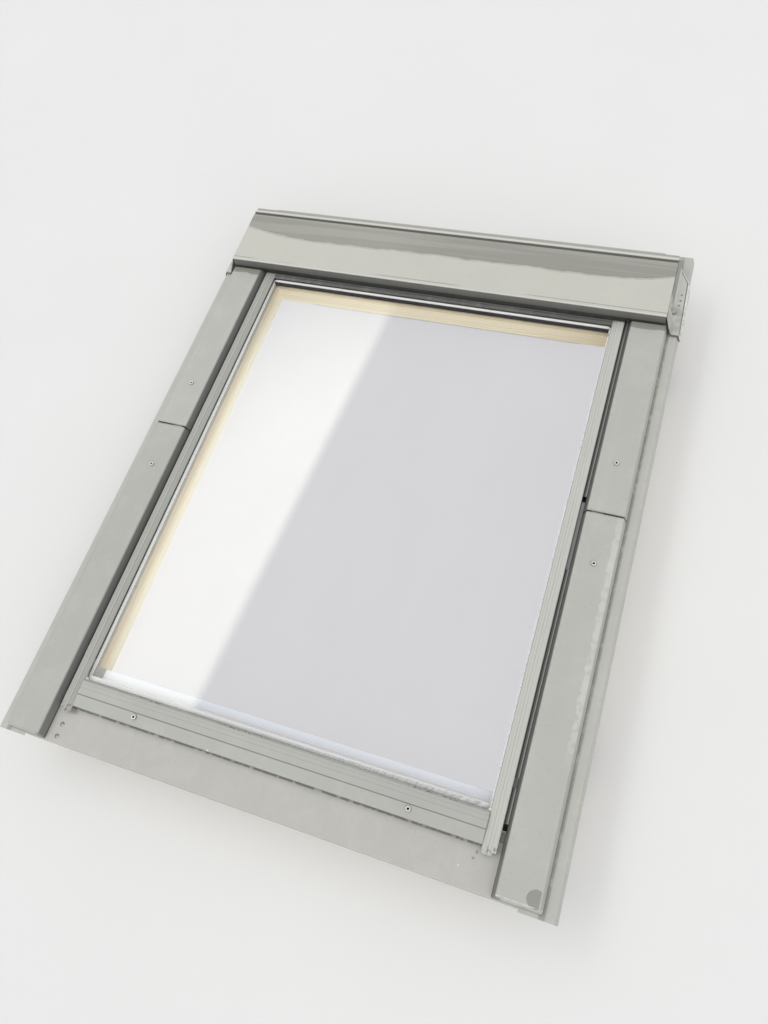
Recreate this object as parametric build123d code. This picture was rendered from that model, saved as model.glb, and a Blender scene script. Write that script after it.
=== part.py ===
from build123d import *
import os
from math import cos, hypot, radians, sin

# Centre-pivot roof window with its metal covers and flashing.
# Millimetres. X runs across the window, Y up the roof slope, Z out of the roof.
# While the pieces are drawn, Y = 0 is the pivot line, and Z = 0 is the room side of the frame.
# At the end the model is slid along Y, so that the origin is under the middle of the whole part.

# Timber frame
frame_width = 780.0
frame_length = 978.0
frame_depth = 97.2
frame_side_width = 44.0
frame_top_width = 52.0
frame_bottom_wall = 24.0
frame_sill_width = 40.0
frame_sill_height = 38.0
groove_setback = 21.0
groove_width = 13.0
groove_depth = 10.0
tenon_length = 12.0
joint_gap = 0.1
timber_edge = 3.0

# Sash timber
sash_gap = 5.0
sash_side_width = 25.0
sash_underside = 40.0
sash_rise = 0.2
sash_bottom_gap = 9.0
sash_bottom_width = 34.0
sash_head_gap = 7.0
sash_head_width = 80.0
rebate_drop = 18.2

# Double glazing
pane = 4.0
pane_cavity = 14.0
glazing_tape_thickness = 1.0
glass_top_cover = 12.0
glass_side_cover = 13.8
glass_bottom_cover = 5.0
glass_side_gap = 1.5
glass_block = 4.0
block_length = 80.0
block_inset = 79.0
spacer_width = 6.5
edge_seal_width = 6.0
gasket_width = 4.4
gasket_height = 3.2
glass_foot_depth = 42.0
glass_head_depth = 138.0

# Flashing sheets
flashing_sheet = 0.8
flashing_reach = 31.0
flashing_low_reach = 61.0
flashing_high_reach = 36.0
flashing_lap = 15.0
flashing_flare = 4.5
flashing_drop = 14.0
apron_reach = 57.0
apron_drop = 13.0
apron_bracket_leg = 39.0
flashing_top_lap = 49.0
apron_bracket_inset = 67.5
apron_bracket_width = 49.0

# Side covers
cover_overhang = 10.0
cover_face = 54.4
cover_height = 16.0
cover_sheet = 0.8
cover_flare_in = 5.6
cover_flare_out = 5.0
cover_foot_gap = 0.4
cover_low_reach = 51.5
cover_end_flare = 4.0
cover_edge_radius = 2.2
cover_split = 2.5
gutter = 11.1
cover_head_depth = 117.0

# Hood
hood_inset = 2.0
hood_front_depth = 131.0
hood_lean = 3.6
hood_rise = 20.0
hood_back_rise = 22.0
hood_bead_depth = 15.0
hood_back_reach = 5.0
hood_fascia_drop = 3.0
hood_sheet = 0.8
hood_end_thickness = 1.6

# Pivot hinges
hub_radius = 24.0
hub_thickness = 7.2
hub_top_gap = 1.5
rib_inner_radius = 14.3
rib_outer_radius = 17.7
rib_height = 2.8
hinge_gap = 0.3
hinge_plate = 6.0
hinge_arm = 5.5
hinge_arm_depth = 17.3
hinge_arm_low = -90.0
hinge_arm_high = -14.0
hinge_plate_lift = 10.0
hinge_plate_high = 34.0
housing_radius = 31.0
housing_wall = 3.0
housing_foot = 66.0
housing_foot_thickness = 4.0
sash_open_angle = 160.0

# Control bar, vent flap, latch and barrel bolt
bar_axis_inset = 28.0
bar_axis_z = 30.0
bar_reach = 22.0
bar_depth = 24.0
bar_thickness = 12.0
bar_wall = 1.6
bar_end_inset = 54.0
bar_bracket_inset = 86.0
bar_rest_angle = 36.0
bar_pin_radius = 2.5
flap_axis_inset = 14.0
flap_axis_z = 33.5
flap_reach = 13.0
flap_plate = 2.0
flap_top = 38.5
flap_end_inset = 31.0
flap_rest_angle = 30.0
flap_pin_radius = 2.0
latch_lift = 0.5
latch_width = 12.0
latch_thickness = 10.0
latch_length = 32.0
latch_travel = 10.5
bolt_inset = 30.0
bolt_z = 33.5
bolt_radius = 3.5
bolt_length = 56.0
bolt_bush_radius = 6.5
bolt_bush_length = 12.0
pin_gap = 0.06
filter_end_inset = 46.0
filter_width = 25.0
filter_setback = 2.0

# Fasteners and their places
screw_radius = 2.0
screw_head_radius = 4.0
screw_head_height = 2.2
cover_screw_inset = 28.0
upper_screw_y = 87.5
lower_screw_y = -82.0
bottom_screw_inset = 104.0
bottom_screw_setback = 12.0
rivet_inset = 67.0
rivet_reaches = (29.0, 47.0)
rivet_radius = 1.6
bracket_inset = 159.0
bracket_hole_inset = 18.0
bracket_low = 20.0
bracket_leg = 42.0
bracket_reach = 34.0
bracket_sheet = 2.0
bracket_hole_radius = 3.0
nail_inset = 13.6
nail_shift = 41.0
nail_radius = 1.6
nail_head_radius = 3.6

# Worked out from the values above
half_width = frame_width / 2
half_length = frame_length / 2
flashing_half_width = half_width + flashing_reach
flashing_inner_edge = half_width - flashing_lap
frame_inner_x = half_width - frame_side_width
sash_outer_x = frame_inner_x - sash_gap
sash_inner_x = sash_outer_x - sash_side_width
sheet_top = frame_depth + flashing_sheet
pivot_z = sheet_top + cover_height
frame_top_inner = half_length - frame_top_width
frame_wall_inner = -half_length + frame_bottom_wall
frame_sill_inner = -half_length + frame_sill_width
sash_low = frame_wall_inner + sash_bottom_gap
sash_high = frame_top_inner - sash_head_gap
sash_top_height = frame_depth + sash_rise
hinge_plate_bottom = sash_underside + hinge_plate_lift
rebate_height = frame_depth - rebate_drop
visible_glass_bottom = -half_length + glass_foot_depth
visible_glass_top = half_length - glass_head_depth
flashing_low_end = -half_length - flashing_low_reach
flashing_high_end = half_length + flashing_high_reach
apron_low_end = -half_length - apron_reach
apron_bracket_x = half_width - apron_bracket_inset
sash_low_inner = sash_low + sash_bottom_width
sash_high_inner = sash_high - sash_head_width
glass_low = sash_low + glass_block
glass_high = visible_glass_top + glass_top_cover
rebate_wall = sash_outer_x - 10.5
glass_half = rebate_wall - glass_side_gap
glass_under = rebate_height + glazing_tape_thickness
glass_over = glass_under + 2 * pane + pane_cavity
visible_glass_half = glass_half - glass_side_cover
cover_outer_x = half_width + cover_overhang
cover_inner_x = cover_outer_x - cover_face
cover_low_end = -half_length - cover_low_reach
cover_high_end = half_length - cover_head_depth
hood_front = half_length - hood_front_depth
hood_bead_front = half_length - hood_bead_depth
hood_back = half_length + hood_back_reach
hood_half_width = cover_outer_x - hood_inset
nail_x = flashing_half_width - nail_inset
nail_y = hood_front + nail_shift
profile_half_out = cover_inner_x - gutter
cover_foot_z = sheet_top + cover_foot_gap
hub_inner_x = frame_inner_x + 10.4
bar_axis_y = sash_high - bar_axis_inset
bar_half_length = sash_inner_x - bar_end_inset
bar_bracket_x = sash_inner_x - bar_bracket_inset
flap_axis_y = sash_high - flap_axis_inset
flap_tip = sash_high + flap_reach
flap_half_length = sash_inner_x - flap_end_inset
air_filter_half = sash_inner_x - filter_end_inset
latch_height = (sash_underside + rebate_height) / 2 + latch_lift
bolt_y = sash_high - bolt_inset
cover_screw_x = cover_outer_x - cover_screw_inset
bottom_screw_x = sash_inner_x - bottom_screw_inset
bottom_screw_y = -half_length + bottom_screw_setback
rivet_x = -half_width + rivet_inset
rivet_rows = [-half_length - reach for reach in rivet_reaches]
bracket_y = half_length - bracket_inset
middle_y = (flashing_low_end + flashing_high_end) / 2


# Helpers

def prism(points, direction, start, end, radii=0):
    """A solid with the outline given in the other two axes, from start to end along one axis."""
    planes = {
        "x": Plane.YZ.offset(start),
        "y": Plane.XZ.offset(-end),
        "z": Plane.XY.offset(start),
    }
    plane = planes[direction]
    if isinstance(radii, (int, float)):
        radii = [radii] * len(points)
    outline = FilletPolyline(*points, radius=radii, close=True)
    return extrude(plane * make_face(outline), amount=end - start, dir=plane.z_dir)


def block(x_range, y_range, z_range):
    """A box between two corners."""
    size = [high - low for low, high in (x_range, y_range, z_range)]
    centre = [(high + low) / 2 for low, high in (x_range, y_range, z_range)]
    return Pos(*centre) * Box(*size)


def rod(radius, direction, start, end, first, second):
    """A round bar along one axis; first and second are its place on the other two axes."""
    length = end - start
    middle = (start + end) / 2
    if direction == "x":
        return Pos(middle, first, second) * Rot(0, 90, 0) * Cylinder(radius, length)
    if direction == "y":
        return Pos(first, middle, second) * Rot(90, 0, 0) * Cylinder(radius, length)
    return Pos(first, second, middle) * Cylinder(radius, length)


def folded(points, thickness, bend, side=1):
    """Outline and corner radii of a folded sheet. The points lie on one face of it.

    The thickness goes to the left of the way along the points for side 1, to the right for side -1.
    """
    steps = []
    for (ax, ay), (bx, by) in zip(points, points[1:]):
        length = hypot(bx - ax, by - ay)
        steps.append(((bx - ax) / length, (by - ay) / length))
    back = []
    face_radii = []
    back_radii = []
    for index, (px, py) in enumerate(points):
        before = steps[max(index - 1, 0)]
        after = steps[min(index, len(steps) - 1)]
        nx = -side * (before[1] + after[1])
        ny = side * (before[0] + after[0])
        scale = thickness / (1 + before[0] * after[0] + before[1] * after[1])
        back.append((px + nx * scale, py + ny * scale))
        turn = side * (before[0] * after[1] - before[1] * after[0])
        ends = index in (0, len(points) - 1)
        face_radii.append(0 if ends else bend + thickness if turn > 0 else bend)
        back_radii.append(0 if ends else bend if turn > 0 else bend + thickness)
    return points + back[::-1], face_radii + back_radii[::-1]


def sheet(points, thickness, direction, start, end, bend=0.6, side=1):
    """A folded sheet, drawn along one of its faces."""
    outline, radii = folded(points, thickness, bend, side)
    return prism(outline, direction, start, end, radii)


def ring(half_x, low_y, high_y, width, low_z, high_z, corner=0):
    """A rectangular ring, with its outer size given."""
    outer = [(-half_x, low_y), (half_x, low_y), (half_x, high_y), (-half_x, high_y)]
    inner_x = half_x - width
    inner = [(-inner_x, low_y + width), (inner_x, low_y + width)]
    inner += [(inner_x, high_y - width), (-inner_x, high_y - width)]
    return prism(outer, "z", low_z, high_z) - prism(inner, "z", low_z - 1, high_z + 1, corner)


def drill(radius, x, y, z):
    """The cut for a hole through a sheet at height z."""
    return rod(radius, "z", z - 6, z + 6, x, y)


def mirrored(part):
    """The left-hand twin of a right-hand piece."""
    return mirror(part, about=Plane.YZ)


def pair(part):
    """A right-hand piece and its left-hand twin, as separate solids of one group."""
    return Compound([*part.solids(), *mirrored(part).solids()])


def group(parts):
    """Separate solids that share a node."""
    return Compound([solid for part in parts for solid in part.solids()])


def turned(part, axis_y, axis_z, angle):
    """The part turned about a line along X."""
    return Pos(0, axis_y, axis_z) * Rot(angle, 0, 0) * Pos(0, -axis_y, -axis_z) * part


def after_opening(y, z):
    """Where a point of the sash comes to when the sash is turned right over."""
    angle = radians(sash_open_angle)
    rise = z - pivot_z
    return y * cos(angle) + rise * sin(angle), pivot_z - y * sin(angle) + rise * cos(angle)


def wood_screw(length, radius=2.4, head_radius=4.6, head_height=2.4):
    """A screw with its head's underside at the origin and its shank along -Z."""
    shank = Pos(0, 0, -length / 2) * Cylinder(radius, length)
    head = Pos(0, 0, head_height / 2) * Cylinder(head_radius, head_height)
    return head + shank


def cover_screw(length):
    """A pan-head screw with a socket, its head's underside at the origin."""
    screw = wood_screw(length, screw_radius, screw_head_radius, screw_head_height)
    rim = screw.faces().sort_by(Axis.Z)[-1].edges()
    socket = Pos(0, 0, screw_head_height) * extrude(RegularPolygon(1.6, 6), amount=-1.3)
    return chamfer(rim, 0.7) - socket


# Timber frame

def lining_groove_side():
    """Groove in the room side of a side member, for the edge of the wall lining."""
    low = half_width - groove_setback - groove_width
    return block((low, low + groove_width), (-half_length - 1, half_length + 1), (-1, groove_depth))


def lining_groove_end(sign):
    """The same groove in the top or bottom member."""
    far = sign * (half_length - groove_setback)
    near = sign * (half_length - groove_setback - groove_width)
    length = frame_inner_x + 1
    return block((-length, length), (min(far, near), max(far, near)), (-1, groove_depth))


frame_tenons = {
    1: ((frame_top_inner + 15, half_length - 9), (45.0, frame_depth - 17.2)),
    -1: ((-half_length + 4, frame_wall_inner - 5), (30.0, frame_depth - 22.2)),
}
joint_screw_places = [(-half_length + 12, 20.0), (-half_length + 12, frame_depth - 12.2)]
joint_screw_places += [(half_length - 19, 20.0), (half_length - 19, frame_depth - 9.2)]
joint_screw_length = 85.0
joint_screw_radius = 2.5
joint_head_depth = 3.0


def tenon(sign, grow=0.0):
    """The tongue at the right end of the top (1) or bottom (-1) member, or its mortise."""
    y_range, z_range = frame_tenons[sign]
    return block(
        (frame_inner_x - 1, frame_inner_x + tenon_length + grow),
        (y_range[0] - grow, y_range[1] + grow),
        (z_range[0] - grow, z_range[1] + grow),
    )


def joint_screws(grow=0.0):
    """Screws through the side members into the top and bottom members, right-hand side."""
    parts = []
    for y, z in joint_screw_places:
        shank = rod(joint_screw_radius + grow, "x", half_width - joint_screw_length, half_width, y, z)
        head = rod(5.0 + grow, "x", half_width - joint_head_depth, half_width + grow, y, z)
        parts.append(shank + head)
    return parts


def hinge_pockets():
    """Room in a side member for the pivot hinge, open at the top."""
    top = frame_depth + 1
    arm_floor = pivot_z - hub_radius
    arm = block(
        (frame_inner_x - 1, hub_inner_x + 0.6),
        (hinge_arm_low - 5.5, hinge_arm_high + 6),
        (arm_floor, top),
    )
    cradle_width = hub_thickness + rib_height + housing_wall + 2 * hinge_gap
    reach = housing_radius + 2.0
    cradle = block(
        (frame_inner_x + 5, hub_inner_x + cradle_width + 1.2),
        (-reach, reach),
        (pivot_z - reach, top),
    )
    return arm + cradle


def frame_side():
    """Right-hand side member, without what only one side has."""
    outline = [(frame_inner_x, 0), (half_width, 0), (half_width, frame_depth), (frame_inner_x, frame_depth)]
    part = prism(outline, "y", -half_length, half_length, [timber_edge, 0.5, 0.5, 1.0])
    part = part - lining_groove_side() - hinge_pockets()
    part = part - tenon(1, joint_gap) - tenon(-1, joint_gap)
    for screw in joint_screws(0.05):
        part = part - screw
    for place in housing_screw_places():
        part = part - pilot_hole(place)
    for place in bracket_screw_places():
        part = part - pilot_hole(place)
    return part


def frame_top():
    """Top member, rebated under its inner edge for the vent flap."""
    outline = [
        (half_length, 0),
        (half_length, frame_depth),
        (frame_top_inner, frame_depth),
        (frame_top_inner, sash_underside),
        (frame_top_inner + 9, sash_underside),
        (frame_top_inner + 9, 0),
    ]
    part = prism(outline, "x", -frame_inner_x, frame_inner_x, [0.5, 0.5, 1.0, 1.0, 0, timber_edge])
    part = part - lining_groove_end(1)
    part = part + tenon(1) + mirrored(tenon(1))
    mortise = block(
        (-latch_width / 2 - 1.5, latch_width / 2 + 1.5),
        (frame_top_inner - 1, sash_high + latch_travel + 3),
        (latch_height - latch_thickness / 2 - 2, latch_height + latch_thickness / 2 + 2),
    )
    part = part - mortise
    for screw in joint_screws(0.05):
        part = part - screw - mirrored(screw)
    return part


def frame_bottom():
    """Bottom member: an outer wall and a sill that the sash closes over."""
    outline = [
        (-half_length, 0),
        (frame_sill_inner, 0),
        (frame_sill_inner, frame_sill_height),
        (frame_wall_inner, frame_sill_height),
        (frame_wall_inner, frame_depth),
        (-half_length, frame_depth),
    ]
    part = prism(outline, "x", -frame_inner_x, frame_inner_x, [0.5, timber_edge, timber_edge, 2.0, 1.0, 0.5])
    part = part - lining_groove_end(-1)
    part = part + tenon(-1) + mirrored(tenon(-1))
    for screw in joint_screws(0.05):
        part = part - screw - mirrored(screw)
    for place in apron_screw_places():
        part = part - pilot_hole(place) - mirrored(pilot_hole(place))
    return part


# One pattern of wood screw holds the hinge housings, the mounting brackets and the apron brackets.
# A place is the point under its head, and the way its shank goes.
small_screw_length = 25.0
small_screw_radius = 2.4
screw_turns = {"-z": (0, 0, 0), "-x": (0, 90, 0), "+y": (90, 0, 0)}


def small_screw(place):
    """A wood screw at a place, its shank going the way that the place says."""
    x, y, z, way = place
    return Pos(x, y, z) * Rot(*screw_turns[way]) * wood_screw(small_screw_length, small_screw_radius)


def pilot_hole(place):
    """The hole that a small screw's shank bites into."""
    x, y, z, way = place
    hole = Pos(0, 0, -small_screw_length / 2) * Cylinder(small_screw_radius + 0.05, small_screw_length + 1)
    return Pos(x, y, z) * Rot(*screw_turns[way]) * hole


def housing_screw_places():
    """Two screws down through the feet of a hinge housing."""
    height = frame_depth + housing_foot_thickness
    middle = (housing_radius + housing_foot) / 2 + 3
    x = (hub_inner_x + flashing_inner_edge) / 2
    return [(x, sign * middle, height, "-z") for sign in (-1, 1)]


def bracket_screw_places():
    """Two screws through the upright leg of each mounting bracket on the right-hand side."""
    places = []
    for sign in (-1, 1):
        for shift in (-18, 18):
            place = (half_width + bracket_sheet, sign * bracket_y + shift, bracket_low + 28, "-x")
            places.append(place)
    return places


def apron_screw_places():
    """Two screws through the upright leg of the right-hand apron bracket."""
    middle = apron_bracket_x
    return [(x, -half_length - 1.5, frame_depth - 25.2, "+y") for x in (middle - 14.5, middle + 14.5)]


def frame_screws():
    """All small screws of the frame, both sides."""
    places = housing_screw_places() + bracket_screw_places() + apron_screw_places()
    return pair(group([small_screw(place) for place in places]))


def frame_seals():
    """Rubber strips that the closed sash and flap stand 0.3 mm off."""
    gap = 0.3
    sill = block(
        (-sash_outer_x + 5, sash_outer_x - 5),
        (sash_low + 1, frame_sill_inner - 1.5),
        (frame_sill_height, sash_underside - gap),
    )
    head = block(
        (-flap_half_length, flap_half_length),
        (frame_top_inner + 2, frame_top_inner + 6),
        (flap_top + gap, sash_underside),
    )
    side_z = (sash_underside + 20, sash_underside + 26)
    side = block((sash_outer_x + gap, frame_inner_x), (frame_wall_inner + 20, frame_top_inner), side_z)
    return Compound([*sill.solids(), *head.solids(), *side.solids(), *mirrored(side).solids()])


# Pivot hinges: a half-round hub on the sash lies in a half-round cradle on the frame.
# The turning line is at the level of the covers' top, above the timber, so there is no pin on it.
# A curved rib on the hub runs in a curved track in the cradle and keeps the hub from lifting out.

def half_disc(radius, low_x, high_x, lift=hub_top_gap):
    """The part of a disc about the turning line that lies below the covers' top sheet."""
    disc = rod(radius, "x", low_x, high_x, 0, pivot_z)
    keep = block((low_x - 1, high_x + 1), (-radius - 1, radius + 1), (pivot_z - radius - 1, pivot_z - lift))
    return disc & keep


def hinge_housing():
    """Right-hand frame half of the pivot hinge."""
    low_x = hub_inner_x + 0.4
    seat_x = hub_inner_x + hub_thickness + hinge_gap
    groove_x = seat_x + rib_height
    high_x = groove_x + housing_wall
    foot_top = frame_depth + housing_foot_thickness
    body = half_disc(housing_radius, low_x, high_x, 1.8)
    feet = block((low_x, flashing_inner_edge - 0.6), (-housing_foot, housing_foot), (frame_depth, foot_top))
    feet = fillet(feet.edges().filter_by(Axis.Z), 5.0)
    part = body + feet
    part = part - half_disc(hub_radius + hinge_gap, low_x - 1, seat_x, 0)
    track = half_disc(rib_outer_radius + hinge_gap, seat_x - 1, groove_x, 0)
    track = track - rod(rib_inner_radius - hinge_gap, "x", seat_x - 2, groove_x + 1, 0, pivot_z)
    part = part - track
    for place in housing_screw_places():
        part = part - pilot_hole(place)
    return part


hinge_screw_rows = [(-80.0, 12.0), (-38.0, 6.0), (6.0, 6.0), (26.0, 20.0)]
hinge_screw_places = [(y, hinge_plate_bottom + rise) for y, rise in hinge_screw_rows]
hinge_screw_length = 22.0


def hinge_recess(grow):
    """Outline of the hinge's plate on the outer face of the sash side, or its recess."""
    low_z = hinge_plate_bottom - grow
    high_z = pivot_z - hinge_arm_depth
    low_y = hinge_arm_low - 3 - grow
    high_y = hinge_plate_high + grow
    outline = [
        (low_y, high_z),
        (low_y, low_z),
        (high_y, low_z),
        (high_y, high_z - 12),
        (high_y - 14, high_z),
    ]
    return outline, [0, 6.0, 6.0, 6.0, 3.0]


def sash_hinge():
    """Right-hand sash half of the pivot hinge: plate, arm over the frame, hub and cover tab."""
    outline, radii = hinge_recess(0)
    plate = prism(outline, "x", sash_outer_x - hinge_plate, sash_outer_x, radii)
    arm_top_z = pivot_z - hinge_arm_depth
    arm_low_z = arm_top_z - hinge_arm
    web_x = hub_inner_x - 4.4
    arm = block((sash_outer_x - 0.5, hub_inner_x), (hinge_arm_low, hinge_arm_high), (arm_low_z, arm_top_z))
    web_top = pivot_z - hub_top_gap
    web_outline = [(hinge_arm_low, arm_low_z), (0, arm_low_z), (0, web_top), (hinge_arm_low, web_top)]
    web = prism(web_outline, "x", web_x, hub_inner_x, [2.0, 0, 0, 2.0])
    web = web + half_disc(hub_radius, web_x, hub_inner_x)
    hub = half_disc(hub_radius, hub_inner_x, hub_inner_x + hub_thickness)
    rib_x = hub_inner_x + hub_thickness
    rib = half_disc(rib_outer_radius, rib_x - 0.5, rib_x + rib_height - hinge_gap)
    rib = rib - rod(rib_inner_radius, "x", rib_x - 1, rib_x + rib_height + 1, 0, pivot_z)
    rib = rib + half_disc(rib_outer_radius, rib_x - 0.5, rib_x)
    tab_top = pivot_z - cover_sheet - 0.2
    tab = block((web_x, cover_screw_x + 8), (hinge_arm_low, lower_screw_y + 9), (tab_top - 3, tab_top))
    boss = rod(4.5, "z", tab_top - 8, tab_top, cover_screw_x, lower_screw_y)
    part = plate + arm + web + hub + rib + tab + boss
    part = part - rod(screw_radius + 0.05, "z", tab_top - 9, tab_top + 1, cover_screw_x, lower_screw_y)
    for y, z in hinge_screw_places:
        part = part - rod(2.3, "x", sash_outer_x - 8, sash_outer_x + 1, y, z)
        part = part - rod(4.4, "x", sash_outer_x - 2.5, sash_outer_x + 1, y, z)
    return part


def sash_hinge_screws():
    """Screws of both sash hinges, their heads sunk in the plate."""
    parts = []
    for y, z in hinge_screw_places:
        shank = rod(2.2, "x", sash_outer_x - hinge_screw_length, sash_outer_x - 2.3, y, z)
        head = rod(4.2, "x", sash_outer_x - 2.4, sash_outer_x - 0.2, y, z)
        parts.append(shank + head)
    return pair(group(parts))


# Sash timber

sash_tenons = {
    1: ((sash_high_inner + 30, sash_high - 25), (sash_underside + 6, rebate_height - 9)),
    -1: ((sash_low + 8, sash_low_inner - 8), (sash_underside + 6, rebate_height - 11)),
}


def sash_tenon(sign, grow=0.0):
    """The tongue at the right end of the sash's top (1) or bottom (-1) rail, or its mortise."""
    y_range, z_range = sash_tenons[sign]
    return block(
        (sash_inner_x - 1, sash_inner_x + 16 + grow),
        (y_range[0] - grow, y_range[1] + grow),
        (z_range[0] - grow, z_range[1] + grow),
    )


def sash_side():
    """Right-hand side of the sash, rebated for the glass and recessed for its hinge plate."""
    outline = [
        (sash_inner_x, sash_underside),
        (sash_outer_x, sash_underside),
        (sash_outer_x, sash_top_height),
        (rebate_wall, sash_top_height),
        (rebate_wall, rebate_height),
        (sash_inner_x, rebate_height),
    ]
    part = prism(outline, "y", sash_low, sash_high, [5.0, 1.5, 1.0, 0.5, 0, 1.0])
    recess, radii = hinge_recess(0.2)
    plate_top = pivot_z - hinge_arm_depth
    recess = [(y, z + 30 if z == plate_top else z) for y, z in recess]
    part = part - prism(recess, "x", sash_outer_x - hinge_plate - 0.05, sash_outer_x + 1, radii)
    part = part - sash_tenon(1, joint_gap) - sash_tenon(-1, joint_gap)
    for y, z in hinge_screw_places:
        part = part - rod(2.25, "x", sash_outer_x - hinge_screw_length - 0.5, sash_outer_x, y, z)
    return part


def sash_top():
    """Top rail of the sash, with the latch's mortise."""
    outline = [
        (sash_high_inner, sash_underside),
        (sash_high, sash_underside),
        (sash_high, sash_top_height),
        (glass_high + glass_side_gap, sash_top_height),
        (glass_high + glass_side_gap, rebate_height),
        (sash_high_inner, rebate_height),
    ]
    part = prism(outline, "x", -sash_inner_x, sash_inner_x, [5.0, 1.5, 1.0, 0.5, 0, 1.0])
    part = part + sash_tenon(1) + mirrored(sash_tenon(1))
    return part - latch_space(0.15)


def sash_bottom():
    """Bottom rail of the sash, wholly under the glass."""
    outline = [
        (sash_low, sash_underside),
        (sash_low_inner, sash_underside),
        (sash_low_inner, rebate_height),
        (sash_low, rebate_height),
    ]
    part = prism(outline, "x", -sash_inner_x, sash_inner_x, [1.5, 5.0, 1.0, 0.5])
    return part + sash_tenon(-1) + mirrored(sash_tenon(-1))


# Double glazing

def glass_pane(low_z):
    """A sheet of glass of the unit's full size."""
    outline = [(-glass_half, glass_low), (glass_half, glass_low)]
    outline += [(glass_half, glass_high), (-glass_half, glass_high)]
    return prism(outline, "z", low_z, low_z + pane, 2.0)


def pane_spacer():
    """Aluminium bar between the panes, set in from their edge."""
    low_z = glass_under + pane
    inset = edge_seal_width
    return ring(
        glass_half - inset,
        glass_low + inset,
        glass_high - inset,
        spacer_width,
        low_z,
        low_z + pane_cavity,
        4.0,
    )


def pane_edge_seal():
    """Sealant between the panes, outside the spacer."""
    low_z = glass_under + pane
    return ring(glass_half, glass_low, glass_high, edge_seal_width, low_z, low_z + pane_cavity)


def glazing_tape():
    """Foam tape between the inner pane and the timber, kept back under the spacer."""
    return ring(glass_half, glass_low, glass_high, 10.0, rebate_height, glass_under)


def glazing_gasket():
    """Black rubber strip between the outer pane and the metal profiles."""
    lip = 0.3
    width = gasket_width
    half = visible_glass_half - lip + width
    low = visible_glass_bottom + lip - width
    high = visible_glass_top - lip + width
    return ring(half, low, high, width, glass_over, profile_lip_z - 0.1, 6.0)


def setting_blocks():
    """Two blocks that the unit's lower edge stands on."""
    x_range = (glass_half - block_inset - block_length, glass_half - block_inset)
    part = block(x_range, (sash_low, glass_low), (rebate_height + 0.2, glass_over - 1))
    return pair(part)


# Metal profiles round the glass

profile_lip_z = glass_over + gasket_height
profile_half_in = visible_glass_half
profile_low_reach = 10.0
profile_head_depth = 91.0
profile_rise = 9.8
filter_clearance = 19.0
profile_low_end = -half_length - profile_low_reach
profile_high_end = half_length - profile_head_depth
profile_top = sheet_top + profile_rise


def profile_section(inner, outer):
    """Section of a hollow cover strip: a slope to the glass, a fine ridge and a flat band."""
    foot = sheet_top + 0.4
    wall = 1.6
    ridge = inner + (outer - inner) * 0.5
    return [
        (inner, profile_lip_z),
        (inner, profile_lip_z + 0.9),
        (inner + 2.8, profile_top - 1.0),
        (ridge - 0.9, profile_top - 0.2),
        (ridge - 0.4, profile_top + 0.6),
        (ridge + 0.6, profile_top + 0.6),
        (ridge + 1.1, profile_top),
        (outer - 0.9, profile_top),
        (outer, profile_top - 0.9),
        (outer, foot),
        (outer - wall, foot),
        (outer - wall, profile_top - wall),
        (ridge, profile_top - wall - 0.2),
        (inner + 3.0, profile_lip_z),
    ]


def sash_profile_side():
    """Right-hand cover strip along the glass, with a notched lower end."""
    section = profile_section(profile_half_in, profile_half_out)
    part = prism(section, "y", profile_low_end, profile_high_end)
    notch_x = (profile_half_out - 5, profile_half_out + 1)
    notch = block(notch_x, (profile_low_end - 1, profile_low_end + 4), (frame_depth - 10, pivot_z + 6))
    return part - notch


def sash_profile_top():
    """Cover strip along the glass's upper edge, under the front of the hood."""
    filter_edge = sash_high - filter_setback - filter_width
    section = profile_section(visible_glass_top, filter_edge - filter_clearance)
    return prism(section, "x", -profile_half_in + 0.3, profile_half_in - 0.3)


bottom_cover_sheet = 1.5
bottom_step_depth = 19.0
bottom_step_rise = 12.0
bottom_step = 1.2
bottom_front_rise = 9.0
bottom_step_y = -half_length + bottom_step_depth
bottom_step_z = sheet_top + bottom_step_rise
bottom_front_z = sheet_top + bottom_front_rise


def bottom_slope(y):
    """Height of the bottom cover's front slope at a place up the roof."""
    start = bottom_step_z - bottom_step
    share = (bottom_step_y - 0.6 - y) / (bottom_step_y - 0.6 + half_length)
    return start + (bottom_front_z - start) * share


def sash_bottom_cover():
    """Folded cover from the glass's lower edge over the front of the frame."""
    low_z = sheet_top + 1.6
    outline = [
        (visible_glass_bottom, profile_lip_z + 0.6),
        (visible_glass_bottom - 1.6, bottom_step_z - 1.6),
        (visible_glass_bottom - 4.0, bottom_step_z - 0.4),
        (bottom_step_y, bottom_step_z),
        (bottom_step_y - 0.6, bottom_step_z - bottom_step),
        (-half_length, bottom_front_z),
        (-half_length, low_z),
    ]
    part = sheet(outline, bottom_cover_sheet, "x", -profile_half_in + 0.3, profile_half_in - 0.3, 0.2)
    for sign in (-1, 1):
        part = part - drill(screw_radius + 0.1, sign * bottom_screw_x, bottom_screw_y, bottom_step_z)
    return part


def sash_bottom_carrier():
    """Strip on the front of the sash's bottom rail that carries the bottom cover and the glass."""
    wall = 1.5
    drop = bottom_cover_sheet + 0.2
    outline = [
        (-half_length + 4, bottom_slope(-half_length + 4) - drop),
        (bottom_step_y - 1.0, bottom_slope(bottom_step_y - 1.0) - drop),
        (sash_low - wall, bottom_slope(bottom_step_y - 1.0) - drop),
        (sash_low - wall, 46.0),
    ]
    part = sheet(outline[:3], wall, "x", -profile_half_in + 1, profile_half_in - 1, 0.2, -1)
    leg = block((-sash_inner_x, sash_inner_x), (sash_low - wall, sash_low), (46.0, outline[2][1]))
    part = part + leg
    for sign in (-1, 1):
        part = part - drill(screw_radius + 0.05, sign * bottom_screw_x, bottom_screw_y, bottom_step_z)
    return part


# Side covers

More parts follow.
